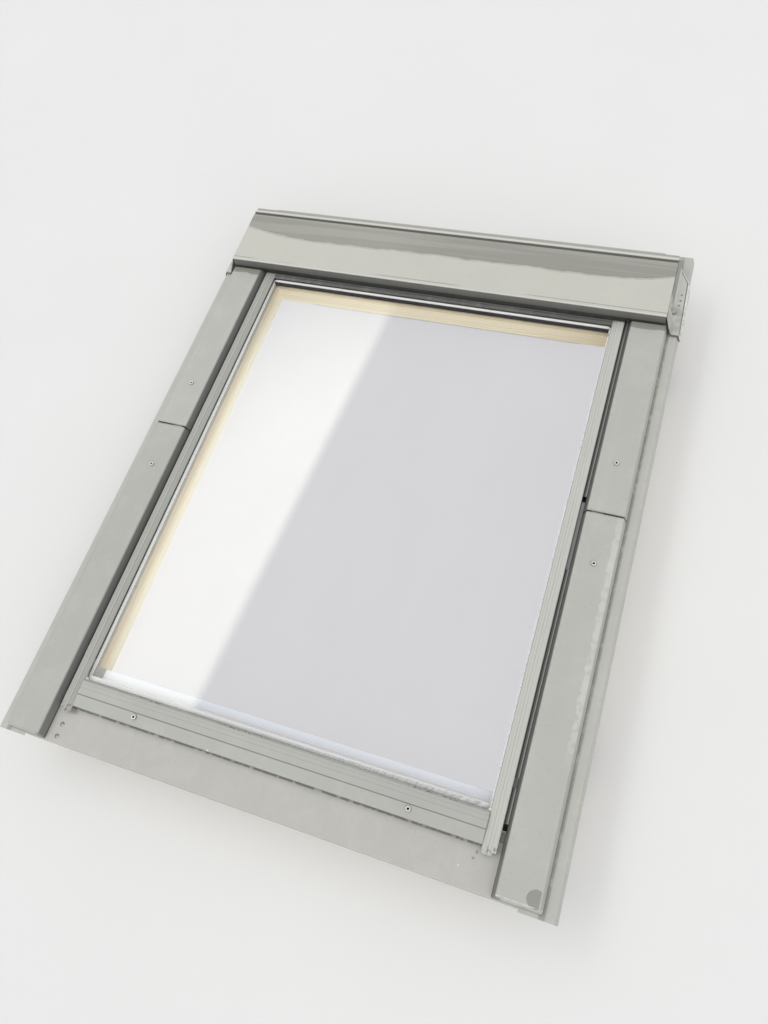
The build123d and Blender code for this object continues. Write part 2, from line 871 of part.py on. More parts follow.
def hat(low_y, high_y, closed_low, inset):
    """The space filled by a side cover; an inset of one sheet gives its inside."""
    top_z = pivot_z - inset
    foot_z = cover_foot_z - (1 if inset else 0)
    end = cover_end_flare if closed_low else 0
    low_inset = inset if closed_low else -1 if inset else 0
    high_inset = -1 if inset else 0
    fall = (pivot_z - foot_z) / (pivot_z - cover_foot_z)
    sections = []
    for z, share in ((top_z, 0), (foot_z, fall)):
        low_x = cover_inner_x - cover_flare_in * share + inset
        high_x = cover_outer_x + cover_flare_out * share - inset
        low = low_y - end * share + low_inset
        high = high_y - high_inset
        points = [(low_x, low), (high_x, low), (high_x, high), (low_x, high)]
        outline = Polyline(*points, close=True)
        sections.append(Pos(0, 0, z) * make_face(outline))
    return loft(sections, ruled=True)


def side_cover(low_y, high_y, closed_low):
    """Right-hand side cover: a sheet-metal channel with flared walls."""
    outer = hat(low_y, high_y, closed_low, 0)
    inner = hat(low_y, high_y, closed_low, cover_sheet)
    top_edges = outer.faces().sort_by(Axis.Z)[-1].edges()
    rounded = list(top_edges.filter_by(Axis.Y))
    if closed_low:
        rounded.append(top_edges.sort_by(Axis.Y)[0])
        middle_z = (pivot_z + cover_foot_z) / 2
        for edge in outer.edges():
            if abs(edge.center().Z - middle_z) < 1 and edge.center().Y < low_y + 1:
                rounded.append(edge)
    outer = fillet(rounded, cover_edge_radius)
    inner_edges = inner.faces().sort_by(Axis.Z)[-1].edges().filter_by(Axis.Y)
    inner = fillet(inner_edges, cover_edge_radius - cover_sheet)
    return outer - inner


def upper_cover():
    """Cover over the upper half of a frame side; it stays with the frame."""
    part = side_cover(cover_split / 2, cover_high_end, False)
    return part - drill(screw_radius + 0.1, cover_screw_x, upper_screw_y, pivot_z)


def lower_cover():
    """Cover over the lower half of a frame side; it swings with the sash."""
    part = side_cover(cover_low_end, -cover_split / 2, True)
    return part - drill(screw_radius + 0.1, cover_screw_x, lower_screw_y, pivot_z)


upper_clip_depth = 189.0
lower_clip_depths = (85.0, 15.0)
upper_clip_rows = (upper_screw_y, half_length - upper_clip_depth)
lower_clip_rows = [-half_length + depth for depth in lower_clip_depths]


def upper_cover_clips():
    """Bent clips between the frame's top face and the upper covers."""
    top = pivot_z - cover_sheet - 0.2
    web_x = cover_screw_x - 14.0
    outline = [(web_x + 16, frame_depth), (web_x, frame_depth), (web_x, top), (cover_screw_x + 9, top)]
    parts = []
    for y in upper_clip_rows:
        clip = sheet(outline, 1.2, "y", y - 12, y + 12, 0.6, -1)
        if y == upper_screw_y:
            clip = clip - drill(screw_radius + 0.05, cover_screw_x, y, top)
        parts.append(clip)
    return pair(group(parts))


def lower_cover_clips():
    """Small clips that hook the lower covers to the sash, seen in the slot beside the glass."""
    low = cover_foot_z + 0.6
    high = low + 5.0
    slope = cover_flare_in / (pivot_z - cover_foot_z)
    near = profile_half_out + 0.2
    far = cover_inner_x - cover_flare_in - 0.2
    outline = [(near, high), (near, low)]
    outline += [(far + slope * (z - cover_foot_z), z) for z in (low, high)]
    parts = [sheet(outline, 0.7, "y", y - 6, y + 6, 0.4) for y in lower_clip_rows]
    return pair(group(parts))


# Hood

def hood_height(y):
    """Height of the hood's top face at a place up the roof."""
    share = (y - hood_front - hood_lean) / (hood_bead_front - hood_front - hood_lean)
    return pivot_z + hood_rise + (hood_back_rise - hood_rise) * share


def hood():
    """Folded hood over the head of the window, with a bead along its back edge."""
    outline = [
        (hood_front, pivot_z - hood_fascia_drop),
        (hood_front + hood_lean, pivot_z + hood_rise),
        (hood_bead_front, hood_height(hood_bead_front)),
        (hood_bead_front + 1.5, hood_height(hood_bead_front) - 1.6),
        (hood_bead_front + 3.5, hood_height(hood_bead_front) - 1.6),
        (hood_bead_front + 5.0, hood_height(hood_bead_front) + 0.2),
        (hood_back, pivot_z + 18.0),
        (hood_back + 0.5, sheet_top + hood_sheet + 0.1),
        (hood_back + 14.0, sheet_top + hood_sheet + 0.1),
    ]
    part = sheet(outline, hood_sheet, "x", -hood_half_width, hood_half_width, 0.4, -1)
    for sign in (-1, 1):
        near = sign * (cover_inner_x - cover_flare_in - 1)
        far = sign * (hood_half_width + 1)
        notch_x = (min(near, far), max(near, far))
        part = part - block(notch_x, (hood_front - 5, hood_front + 5), (sheet_top, pivot_z + 0.6))
    return part


def hood_end():
    """Right-hand end plate of the hood, cut away over the side cover, with a flange under the hood."""
    high_x = hood_half_width - 0.2
    low_x = high_x - 8.0
    top = 0.25 + hood_sheet
    front = hood_front + hood_lean + 0.8
    outline = [
        (front, pivot_z + 0.6),
        (cover_high_end + 1.5, pivot_z + 0.6),
        (cover_high_end + 1.5, sheet_top + 0.3),
        (hood_back - 1.2, sheet_top + 0.3),
        (hood_back - 1.2, pivot_z + 18.0 - top - 0.4),
        (hood_bead_front + 5.0, hood_height(hood_bead_front) - 2.9),
        (hood_bead_front - 1.0, hood_height(hood_bead_front) - 2.9),
        (front, hood_height(front) - top),
    ]
    solid = prism(outline, "x", low_x, high_x)
    plate_x = high_x - hood_end_thickness
    hollow = [
        (front - 5, pivot_z - 30),
        (hood_back - 4.0, pivot_z - 30),
        (hood_back - 4.0, hood_height(hood_bead_front) - 4.3),
        (front - 5, hood_height(front) - top - 1.4),
    ]
    return solid - prism(hollow, "x", low_x - 1, plate_x)


hood_bracket_inset = 90.0
hood_bracket_depth = 42.0
hood_bracket_x = half_width - hood_bracket_inset
hood_bracket_y = half_length - hood_bracket_depth
hood_bracket_reach = 35.0
hood_bracket_sheet = 2.0


def hood_brackets():
    """Bent brackets from the frame's top member up to the underside of the hood."""
    tip = hood_bracket_y - hood_bracket_reach
    top = hood_height(tip) - hood_sheet - hood_bracket_sheet - 0.2
    foot = hood_bracket_y + 37.0
    outline = [(foot, sheet_top), (hood_bracket_y, sheet_top), (hood_bracket_y, top), (tip, top)]
    low_x = hood_bracket_x - 20.0
    return pair(sheet(outline, hood_bracket_sheet, "x", low_x, low_x + 40.0, 1.0, -1))


# Flashing

def side_flashing():
    """Right-hand flashing strip beside the frame, its outer edge folded down and flared."""
    outline = [
        (flashing_inner_edge, sheet_top),
        (flashing_half_width, sheet_top),
        (flashing_half_width + flashing_flare, sheet_top - flashing_drop),
    ]
    return sheet(outline, flashing_sheet, "y", flashing_low_end, flashing_high_end, 2.0, -1)


def apron():
    """Bottom flashing between the side strips, its front edge folded down."""
    outline = [
        (frame_wall_inner - 1, sheet_top),
        (apron_low_end, sheet_top),
        (apron_low_end - 1.0, sheet_top - apron_drop),
    ]
    half = flashing_inner_edge - 0.5
    part = sheet(outline, flashing_sheet, "x", -half, half, 1.2)
    for y in rivet_rows:
        part = part - drill(rivet_radius + 0.05, rivet_x, y, sheet_top)
    return part


def apron_brackets():
    """Angle brackets on the frame's front face, under the apron."""
    wall = 1.5
    top = frame_depth - 0.1
    back = -half_length - wall
    outline = [(apron_low_end + 6, top - wall), (back, top - wall), (back, top - apron_bracket_leg)]
    low_x = apron_bracket_x - apron_bracket_width / 2
    part = sheet(outline, wall, "x", low_x, low_x + apron_bracket_width, 0.6)
    for place in apron_screw_places():
        part = part - pilot_hole(place)
    left = mirrored(part)
    for y in rivet_rows:
        left = left - drill(rivet_radius + 0.05, rivet_x, y, sheet_top)
    return Compound([*part.solids(), *left.solids()])


def apron_rivets():
    """Domed rivets through the apron and the bracket under it."""
    parts = []
    for y in rivet_rows:
        shank = rod(rivet_radius, "z", frame_depth - 2.6, sheet_top + 0.5, rivet_x, y)
        dome = Pos(rivet_x, y, sheet_top - 2.3) * Sphere(4.2)
        dome = dome & block((rivet_x - 5, rivet_x + 5), (y - 5, y + 5), (sheet_top + 0.02, sheet_top + 3))
        tail = rod(2.6, "z", frame_depth - 2.8, frame_depth - 1.65, rivet_x, y)
        parts.append(shank + dome + tail)
    return group(parts)


def flashing_top():
    """Flashing behind the hood, with a folded-back edge."""
    outline = [
        (half_length - flashing_top_lap, sheet_top),
        (flashing_high_end - 2.0, sheet_top),
        (flashing_high_end - 2.0, sheet_top + 5.0),
        (flashing_high_end - 8.0, sheet_top + 6.5),
    ]
    half = flashing_inner_edge - 0.5
    return sheet(outline, flashing_sheet, "x", -half, half, 0.6, -1)


# Each row of the corner piece: its place behind the hood's front, then the sheet's line across the roof.
# The line has the top of the upstand beside the hood, its foot, the outer fold and the lower edge.
# The first two are measured from the hood's end and the last two from the strip's fold, all above the strip.
corner_rows = [
    (-7.0, [(9.6, 8.0), (12.2, 1.3), (0.6, 0.9), (5.4, -11.0)]),
    (3.0, [(0.8, 33.5), (12.0, 1.6), (1.0, 1.8), (6.0, -10.5)]),
    (26.0, [(0.3, 35.2), (12.4, 1.4), (0.8, 0.9), (5.4, -10.0)]),
    (34.0, [(0.3, 35.2), (5.4, 2.6), (1.6, 1.6), (6.2, -11.0)]),
    (48.0, [(0.3, 35.2), (5.2, 2.2), (1.2, 2.0), (5.6, -11.5)]),
    (56.0, [(0.3, 35.4), (12.2, 1.8), (0.8, 1.2), (5.4, -10.5)]),
    (82.0, [(0.3, 35.4), (11.6, 2.2), (1.6, 2.6), (6.4, -11.0)]),
    (110.0, [(0.3, 35.2), (12.4, 1.4), (0.6, 1.2), (5.2, -10.0)]),
    (128.0, [(0.4, 33.5), (10.0, 2.4), (0.8, 1.6), (5.4, -9.5)]),
    (150.0, [(1.4, 10.0), (4.0, 2.0), (0.8, 1.6), (5.4, -9.5)]),
]
corner_cut = [(0.0, 151.5), (22.4, 112.6), (31.0, 100.0), (42.0, 162.0), (0.0, 162.0)]


def flashing_corner():
    """Right-hand corner piece: a sheet dressed by hand round the end of the hood."""
    starts = (hood_half_width, hood_half_width, flashing_half_width, flashing_half_width)
    sections = []
    for shift, offsets in corner_rows:
        line = [(start + dx, sheet_top + dz) for start, (dx, dz) in zip(starts, offsets)]
        outline, _ = folded(line, flashing_sheet, 0)
        plane = Plane.XZ.offset(-hood_front - shift)
        sections.append(plane * make_face(Polyline(*outline, close=True)))
    part = loft(sections, ruled=True)
    cut = [(hood_half_width + dx, hood_front + dy) for dx, dy in corner_cut]
    part = part - prism(cut, "z", sheet_top - 40, sheet_top + 60)
    return part - drill(nail_radius + 0.1, nail_x, nail_y, sheet_top + 1.5)


def flashing_nails():
    """Broad-headed nails through the corner pieces and the strips under them."""
    shank = rod(nail_radius, "z", sheet_top - 16, sheet_top + 5, nail_x, nail_y)
    head = rod(nail_head_radius, "z", sheet_top + 4.4, sheet_top + 5.6, nail_x, nail_y)
    return pair(shank + head)


def side_flashing_drilled():
    """Side strip with the nail's hole."""
    return side_flashing() - drill(nail_radius + 0.05, nail_x, nail_y, sheet_top)


# Mounting brackets

def mounting_brackets():
    """Four angle brackets that hold the frame to the roof."""
    parts = []
    for sign in (-1, 1):
        y = sign * bracket_y
        top = bracket_low + bracket_leg
        outline = [(half_width, top), (half_width, bracket_low), (half_width + bracket_reach, bracket_low)]
        part = sheet(outline, bracket_sheet, "y", y - 30, y + 30, 1.0)
        hole_x = half_width + bracket_hole_inset
        part = part - rod(bracket_hole_radius, "z", bracket_low - 5, bracket_low + 10, hole_x, y)
        for place in bracket_screw_places():
            part = part - pilot_hole(place)
        parts.append(part)
    return pair(group(parts))


# Control bar, vent flap, latch and barrel bolt on the room side

def bar_brackets():
    """Two forked brackets under the sash's top rail that carry the bar and the flap."""
    x = bar_bracket_x
    base = block((x - 12, x + 12), (bar_axis_y - 8, flap_axis_y + 4), (sash_underside - 2.4, sash_underside))
    outline = [
        (bar_axis_y - 6, sash_underside - 2),
        (bar_axis_y - 6, bar_axis_z - 6),
        (flap_axis_y + 5.5, bar_axis_z - 4),
        (flap_axis_y + 5.5, sash_underside - 2),
    ]
    part = base
    for low in (x - 9, x + 6):
        part = part + prism(outline, "x", low, low + 3, [0, 5.0, 4.0, 0])
    part = part - rod(bar_pin_radius + pin_gap, "x", x - 13, x + 13, bar_axis_y, bar_axis_z)
    part = part - rod(flap_pin_radius + pin_gap, "x", x - 13, x + 13, flap_axis_y, flap_axis_z)
    return pair(part)


def control_bar():
    """Hollow bar with two arms and their pins, drawn closed and then pulled down to its stop."""
    centre_y = bar_axis_y - bar_reach
    centre = Pos(centre_y, bar_axis_z)
    shape = Plane.YZ.offset(-bar_half_length) * centre * SlotOverall(bar_depth, bar_thickness)
    core_size = (bar_depth - 2 * bar_wall, bar_thickness - 2 * bar_wall)
    core = Plane.YZ.offset(-bar_half_length - 1) * centre * SlotOverall(*core_size)
    part = extrude(shape, amount=2 * bar_half_length, dir=(1, 0, 0))
    part = part - extrude(core, amount=2 * bar_half_length + 2, dir=(1, 0, 0))
    for sign in (-1, 1):
        x = sign * bar_bracket_x
        arm_low = centre_y + bar_depth / 2 - 1.2
        arm = block((x - 4, x + 4), (arm_low, bar_axis_y), (bar_axis_z - 4, bar_axis_z + 4))
        eye = rod(5.0, "x", x - 4, x + 4, bar_axis_y, bar_axis_z)
        pin = rod(bar_pin_radius, "x", x - 10, x + 10, bar_axis_y, bar_axis_z)
        part = part + (arm + eye + pin)
    return turned(part, bar_axis_y, bar_axis_z, bar_rest_angle)


def vent_flap():
    """Long flap over the air gap at the head of the sash, drawn closed and then let down."""
    low_z = flap_top - flap_plate
    outline = [
        (flap_axis_y + 9.5, low_z),
        (flap_tip - 1.5, low_z),
        (flap_tip, low_z - 1.0),
        (flap_tip, flap_top),
        (flap_axis_y + 9.5, flap_top),
    ]
    part = prism(outline, "x", -flap_half_length, flap_half_length, [0, 0.3, 0.3, 0.5, 0.5])
    for sign in (-1, 1):
        x = sign * bar_bracket_x
        arm_outline = [
            (flap_axis_y, flap_axis_z - 3.5),
            (flap_axis_y + 11.0, low_z - 1.0),
            (flap_axis_y + 11.0, flap_top - 0.2),
            (flap_axis_y, flap_axis_z + 3.5),
        ]
        arm = prism(arm_outline, "x", x - 4, x + 4)
        eye = rod(4.0, "x", x - 4, x + 4, flap_axis_y, flap_axis_z)
        pin = rod(flap_pin_radius, "x", x - 10, x + 10, flap_axis_y, flap_axis_z)
        part = part + (arm + eye + pin)
    return turned(part, flap_axis_y, flap_axis_z, -flap_rest_angle)


latch_case_wall = 4.0


def latch_space(grow=0.0):
    """The block that the latch case fills in the sash's top rail."""
    half_x = latch_width / 2 + latch_case_wall + grow
    half_z = latch_thickness / 2 + latch_case_wall + grow
    low_y = sash_high - latch_length - 2.5 - grow
    return block(
        (-half_x, half_x),
        (low_y, sash_high + (1 if grow else 0)),
        (latch_height - half_z, latch_height + half_z),
    )


def latch_bolt():
    """Square bolt, drawn back, with a bevelled nose."""
    half_x = latch_width / 2
    half_z = latch_thickness / 2
    tip = sash_high - 0.5
    tail = tip - latch_length
    outline = [
        (tail, latch_height - half_z),
        (tip - 4, latch_height - half_z),
        (tip, latch_height - half_z + 3),
        (tip, latch_height + half_z),
        (tail, latch_height + half_z),
    ]
    return prism(outline, "x", -half_x, half_x)


def latch_case():
    """Case let into the sash's top rail, open towards the frame."""
    channel = 0.3
    half_x = latch_width / 2 + channel
    half_z = latch_thickness / 2 + channel
    slot = block(
        (-half_x, half_x),
        (sash_high - latch_length - 1.0, sash_high + 1),
        (latch_height - half_z, latch_height + half_z),
    )
    return latch_space() - slot


def striker_plate():
    """Plate on the frame's top member that the latch bolt shoots into."""
    hole_x = latch_width / 2 + 1.0
    hole_z = latch_thickness / 2 + 1.0
    low_z = latch_height - 16
    high_z = latch_height + 16
    outline = [(-24, low_z), (24, low_z), (24, high_z), (-24, high_z)]
    part = prism(outline, "y", frame_top_inner - 2, frame_top_inner, 3.0)
    slot = block(
        (-hole_x, hole_x),
        (frame_top_inner - 3, frame_top_inner + 1),
        (latch_height - hole_z, latch_height + hole_z),
    )
    return part - slot


bolt_tip_x = sash_outer_x - 0.4
bolt_knob_x = bolt_tip_x - bolt_length + 8.0


def barrel_bolt():
    """Sliding bolt with a turned knob, drawn back."""
    part = rod(bolt_radius, "x", bolt_tip_x - bolt_length, bolt_tip_x, bolt_y, bolt_z)
    tip = part.faces().sort_by(Axis.X)[-1].edges()
    part = chamfer(tip, 1.0)
    neck = rod(1.8, "z", bolt_z - 11, bolt_z, bolt_knob_x, bolt_y)
    knob = rod(4.0, "z", bolt_z - 15, bolt_z - 9, bolt_knob_x, bolt_y)
    return part + neck + knob


def bolt_housing():
    """Barrel that guides the bolt, under the right-hand side of the sash."""
    high_x = sash_outer_x - 3
    low_x = sash_inner_x + 1
    outline = [
        (bolt_y - 12, sash_underside),
        (bolt_y - 12, sash_underside - 2.5),
        (bolt_y - 6.5, sash_underside - 2.5),
        (bolt_y - 6.5, bolt_z - 6),
        (bolt_y + 6.5, bolt_z - 6),
        (bolt_y + 6.5, sash_underside - 2.5),
        (bolt_y + 12, sash_underside - 2.5),
        (bolt_y + 12, sash_underside),
    ]
    part = prism(outline, "x", low_x, high_x, [0, 0, 0.5, 5.0, 5.0, 0.5, 0, 0])
    return part - rod(bolt_radius + pin_gap, "x", low_x - 1, high_x + 1, bolt_y, bolt_z)


def bush_places():
    """Where the bolt meets the frame: with the sash shut, and with it turned right over."""
    return [(bolt_y, bolt_z), after_opening(bolt_y, bolt_z)]


def bolt_bushes():
    """Two metal bushes in the right-hand side of the frame."""
    parts = []
    for y, z in bush_places():
        bush = rod(bolt_bush_radius, "x", frame_inner_x, frame_inner_x + bolt_bush_length, y, z)
        parts.append(bush - rod(bolt_radius + 0.1, "x", frame_inner_x - 1, frame_inner_x + 13, y, z))
    return group(parts)


def frame_side_with_bushes():
    """Right-hand side member, bored for the bolt's bushes."""
    part = frame_side()
    for y, z in bush_places():
        end = frame_inner_x + bolt_bush_length
        part = part - rod(bolt_bush_radius + 0.02, "x", frame_inner_x - 1, end, y, z)
        part = part - rod(bolt_radius + 0.5, "x", end - 1, end + 3, y, z)
    return part


def air_filter():
    """Foam strip along the outer face of the sash's top rail."""
    high_y = sash_high - filter_setback
    low_y = high_y - filter_width
    top = pivot_z - 6.0
    outline = [(low_y, sash_top_height), (high_y, sash_top_height), (high_y - 2, top), (low_y + 2, top)]
    return prism(outline, "x", -air_filter_half, air_filter_half, 1.0)


def cover_screws(places):
    """Pan-head screws at the given places, on both sides."""
    parts = [Pos(x, y, z) * cover_screw(length) for x, y, z, length in places]
    return pair(group(parts))


bottom_head_z = bottom_slope(bottom_screw_y + screw_head_radius) + 0.02
upper_screws = cover_screws([(cover_screw_x, upper_screw_y, pivot_z + 0.02, 5.0)])
sash_screws = cover_screws([
    (cover_screw_x, lower_screw_y, pivot_z + 0.02, 8.0),
    (bottom_screw_x, bottom_screw_y, bottom_head_z, 4.6),
])

right_side = frame_side_with_bushes()
right_sash = sash_side()
right_housing = hinge_housing()
right_hinge = sash_hinge()
right_profile = sash_profile_side()
right_upper = upper_cover()
right_lower = lower_cover()
right_end = hood_end()
right_strip = side_flashing_drilled()
right_corner = flashing_corner()

nodes = {
    "frame_side_left": mirrored(frame_side()),
    "frame_side_right": right_side,
    "frame_top": frame_top(),
    "frame_bottom": frame_bottom(),
    "frame_joint_screws": pair(group(joint_screws())),
    "frame_screws": frame_screws(),
    "frame_seals": frame_seals(),
    "hinge_housing_left": mirrored(right_housing),
    "hinge_housing_right": right_housing,
    "upper_cover_left": mirrored(right_upper),
    "upper_cover_right": right_upper,
    "upper_cover_clips": upper_cover_clips(),
    "upper_cover_screws": upper_screws,
    "hood": hood(),
    "hood_end_left": mirrored(right_end),
    "hood_end_right": right_end,
    "hood_brackets": hood_brackets(),
    "apron": apron(),
    "apron_brackets": apron_brackets(),
    "apron_rivets": apron_rivets(),
    "flashing_left": mirrored(right_strip),
    "flashing_right": right_strip,
    "flashing_top": flashing_top(),
    "flashing_corner_left": mirrored(right_corner),
    "flashing_corner_right": right_corner,
    "flashing_nails": flashing_nails(),
    "mounting_brackets": mounting_brackets(),
    "striker_plate": striker_plate(),
    "bolt_bushes": bolt_bushes(),
    "sash_side_left": mirrored(right_sash),
    "sash_side_right": right_sash,
    "sash_top": sash_top(),
    "sash_bottom": sash_bottom(),
    "outer_pane": glass_pane(glass_over - pane),
    "inner_pane": glass_pane(glass_under),
    "pane_spacer": pane_spacer(),
    "pane_edge_seal": pane_edge_seal(),
    "glazing_tape": glazing_tape(),
    "glazing_gasket": glazing_gasket(),
    "setting_blocks": setting_blocks(),
    "sash_profile_left": mirrored(right_profile),
    "sash_profile_right": right_profile,
    "sash_profile_top": sash_profile_top(),
    "sash_bottom_cover": sash_bottom_cover(),
    "sash_bottom_carrier": sash_bottom_carrier(),
    "sash_cover_screws": sash_screws,
    "lower_cover_left": mirrored(right_lower),
    "lower_cover_right": right_lower,
    "lower_cover_clips": lower_cover_clips(),
    "sash_hinge_left": mirrored(right_hinge),
    "sash_hinge_right": right_hinge,
    "sash_hinge_screws": sash_hinge_screws(),
    "bar_brackets": bar_brackets(),
    "air_filter": air_filter(),
    "latch_case": latch_case(),
    "bolt_housing": bolt_housing(),
    "control_bar": control_bar(),
    "vent_flap": vent_flap(),
    "latch_bolt": latch_bolt(),
    "barrel_bolt": barrel_bolt(),
}

os.makedirs("parts", exist_ok=True)
for name, shape in nodes.items():
    export_step(Pos(0, -middle_y, 0) * shape, f"parts/{name}.step")
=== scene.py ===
import math

import bpy
from mathutils import Matrix, Vector


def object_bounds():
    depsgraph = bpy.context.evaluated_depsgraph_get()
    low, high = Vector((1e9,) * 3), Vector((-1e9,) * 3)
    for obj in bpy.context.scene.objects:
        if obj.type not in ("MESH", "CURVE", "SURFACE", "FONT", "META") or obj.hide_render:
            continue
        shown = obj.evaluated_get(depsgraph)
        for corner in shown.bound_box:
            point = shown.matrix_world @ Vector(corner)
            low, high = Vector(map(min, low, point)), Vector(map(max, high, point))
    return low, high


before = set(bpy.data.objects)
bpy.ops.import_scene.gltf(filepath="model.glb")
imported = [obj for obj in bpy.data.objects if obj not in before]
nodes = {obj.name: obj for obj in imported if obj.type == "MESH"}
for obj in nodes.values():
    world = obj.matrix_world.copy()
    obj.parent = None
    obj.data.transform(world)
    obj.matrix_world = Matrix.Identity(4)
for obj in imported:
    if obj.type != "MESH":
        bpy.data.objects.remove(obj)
cad_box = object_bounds()
scene = bpy.context.scene
scene.view_settings.view_transform = "Standard"

# Lengths are in metres, in the part's own frame: x across the window, y up the roof, z out of it.

MIDDLE = 0.0
FULL_TURN = 2 * math.pi

# Widths over which the edge of a mark fades
HAIR, FINE, SHARP = 0.0005, 0.0008, 0.001

# Heights that tell a piece's top, wall or foot from the rest of it
APRON_TOP = 0.0965
COVER_FOOT, COVER_WALLS, COVER_TOP = 0.1005, 0.1118, 0.1125
HOOD_FOOT, HOOD_TOP = 0.1195, 0.1325
SASH_TOP = 0.0966
LEDGE_TOP = 0.0782

# Edges of the covers and the hood
COVER_SEAM = (0.0095, 0.0155)
COVER_INNER_WALL = 0.352
HOOD_FRONT = 0.376
HOOD_HALF_WIDTH = 0.395

# The screws of the covers, as distance from the middle line and place up the roof
COVER_SCREWS = ((0.372, 0.1), (0.372, -0.0695), (0.212, -0.4645))


# Colours and node trees

def rgb(red, green, blue):
    """A colour as seen on screen, 0 to 255, as the linear values that Blender works with."""
    values = []
    for value in (red, green, blue):
        value /= 255
        values.append(value / 12.92 if value <= 0.04045 else ((value + 0.055) / 1.055) ** 2.4)
    return (*values, 1.0)


class Tree:
    """The node tree of a material or a world, built a node at a time."""

    def __init__(self, owner, output="ShaderNodeOutputMaterial", coordinates="Object"):
        owner.use_nodes = True
        self.owner = owner
        self.nodes = owner.node_tree.nodes
        self.links = owner.node_tree.links
        self.nodes.clear()
        self.output = self.nodes.new(output)
        self.place = self.node("ShaderNodeTexCoord").outputs[coordinates]
        self.x, self.y, self.z = self.node("ShaderNodeSeparateXYZ", Vector=self.place).outputs

    def put(self, socket, value):
        if isinstance(value, bpy.types.NodeSocket):
            self.links.new(value, socket)
        else:
            socket.default_value = value

    def node(self, kind, settings=None, **inputs):
        made = self.nodes.new(kind)
        for key, value in (settings or {}).items():
            setattr(made, key, value)
        for key, value in inputs.items():
            self.put(made.inputs[key.replace("_", " ")], value)
        return made

    # Numbers and masks

    def math(self, operation, first, second=0.0):
        made = self.node("ShaderNodeMath", {"operation": operation})
        self.put(made.inputs[0], first)
        self.put(made.inputs[1], second)
        return made.outputs[0]

    def chain(self, operation, *values):
        """All the values joined by one operation, from the first on."""
        result = values[0]
        for value in values[1:]:
            result = self.math(operation, result, value)
        return result

    def both(self, *masks):
        """Where all the masks are."""
        return self.chain("MULTIPLY", *masks)

    def either(self, *masks):
        """Where any of the masks is."""
        return self.chain("MAXIMUM", *masks)

    def least(self, *values):
        return self.chain("MINIMUM", *values)

    def total(self, *values):
        return self.chain("ADD", *values)

    def minus(self, first, second):
        return self.math("SUBTRACT", first, second)

    def scaled(self, value, factor):
        return self.math("MULTIPLY", value, factor)

    def across(self):
        """Distance from the middle line of the window."""
        return self.math("ABSOLUTE", self.x)

    def waves(self, value, pitch):
        """A sine from -1 to 1 that repeats at the pitch."""
        return self.math("SINE", self.scaled(value, FULL_TURN / pitch))

    def hypotenuse(self, first, second):
        return self.math("SQRT", self.total(self.scaled(first, first), self.scaled(second, second)))

    def reach(self, across, x, y):
        """Distance from a point, in the plane of the roof."""
        return self.hypotenuse(self.minus(across, x), self.minus(self.y, y))

    def ramp(self, value, low, high):
        """0 at low and 1 at high, with a smooth step between them."""
        made = self.node("ShaderNodeMapRange", {"interpolation_type": "SMOOTHSTEP"}, Value=value)
        self.put(made.inputs["From Min"], low)
        self.put(made.inputs["From Max"], high)
        return made.outputs["Result"]

    def above(self, value, edge, soft):
        """0 below the edge and 1 above it, over a soft width."""
        half = soft / 2
        return self.ramp(value, self.minus(edge, half), self.total(edge, half))

    def below(self, value, edge, soft):
        return self.minus(1.0, self.above(value, edge, soft))

    def within(self, value, low, high, soft):
        return self.both(self.above(value, low, soft), self.below(value, high, soft))

    def spot(self, x, y, radius_x, radius_y, soft, wobble):
        """A round mark on the face, with an uneven edge."""
        dx = self.math("DIVIDE", self.minus(self.x, x), radius_x)
        dy = self.math("DIVIDE", self.minus(self.y, y), radius_y)
        uneven = self.scaled(self.minus(self.noise(90.0, 3.0), 0.5), wobble)
        return self.below(self.total(self.hypotenuse(dx, dy), uneven), 1.0, soft)

    def blend(self, factor, first, second):
        """A number between two others."""
        made = self.node("ShaderNodeMix", {"data_type": "FLOAT"})
        for index, value in ((0, factor), (2, first), (3, second)):
            self.put(made.inputs[index], value)
        return made.outputs[0]

    # Patterns

    def noise(self, scale, detail=2.0, stretch=(1, 1, 1), roughness=0.5, shift=0.0):
        vector = self.place
        if stretch != (1, 1, 1) or shift:
            mapping = self.node("ShaderNodeMapping", Vector=self.place)
            mapping.inputs["Scale"].default_value = stretch
            mapping.inputs["Location"].default_value = (shift, shift, shift)
            vector = mapping.outputs[0]
        made = self.node("ShaderNodeTexNoise", None, Vector=vector, Scale=scale, Detail=detail,
                         Roughness=roughness)
        return made.outputs["Fac"]

    def patches(self, scale, detail, edge, soft, **pattern):
        """Where the noise is above the edge."""
        return self.above(self.noise(scale, detail, **pattern), edge, soft)

    def specks(self, scale, share):
        """Small grains spread over the surface; share is how much of it they take."""
        cells = self.node("ShaderNodeTexVoronoi", Vector=self.place, Scale=scale)
        grain = self.below(cells.outputs["Distance"], 0.22, 0.1)
        chosen = self.node("ShaderNodeSeparateColor", Color=cells.outputs["Color"])
        return self.both(grain, self.below(chosen.outputs[0], share, 0.02))

    # Colours and shaders

    def mix(self, factor, first, second, way="MIX"):
        """A colour between two others, or the two joined in another way."""
        made = self.node("ShaderNodeMix", {"data_type": "RGBA", "blend_type": way})
        for index, value in ((0, factor), (6, first), (7, second)):
            self.put(made.inputs[index], value)
        return made.outputs[2]

    def over(self, colour, mask, share, tint):
        """The colour with a tint, 0 to 255, over it where the mask is. Share is its strength."""
        return self.mix(self.scaled(mask, share), colour, rgb(*tint))

    def bump(self, height, distance, strength=1.0, normal=None):
        made = self.node("ShaderNodeBump", Height=height, Distance=distance, Strength=strength)
        if normal is not None:
            self.put(made.inputs["Normal"], normal)
        return made.outputs[0]

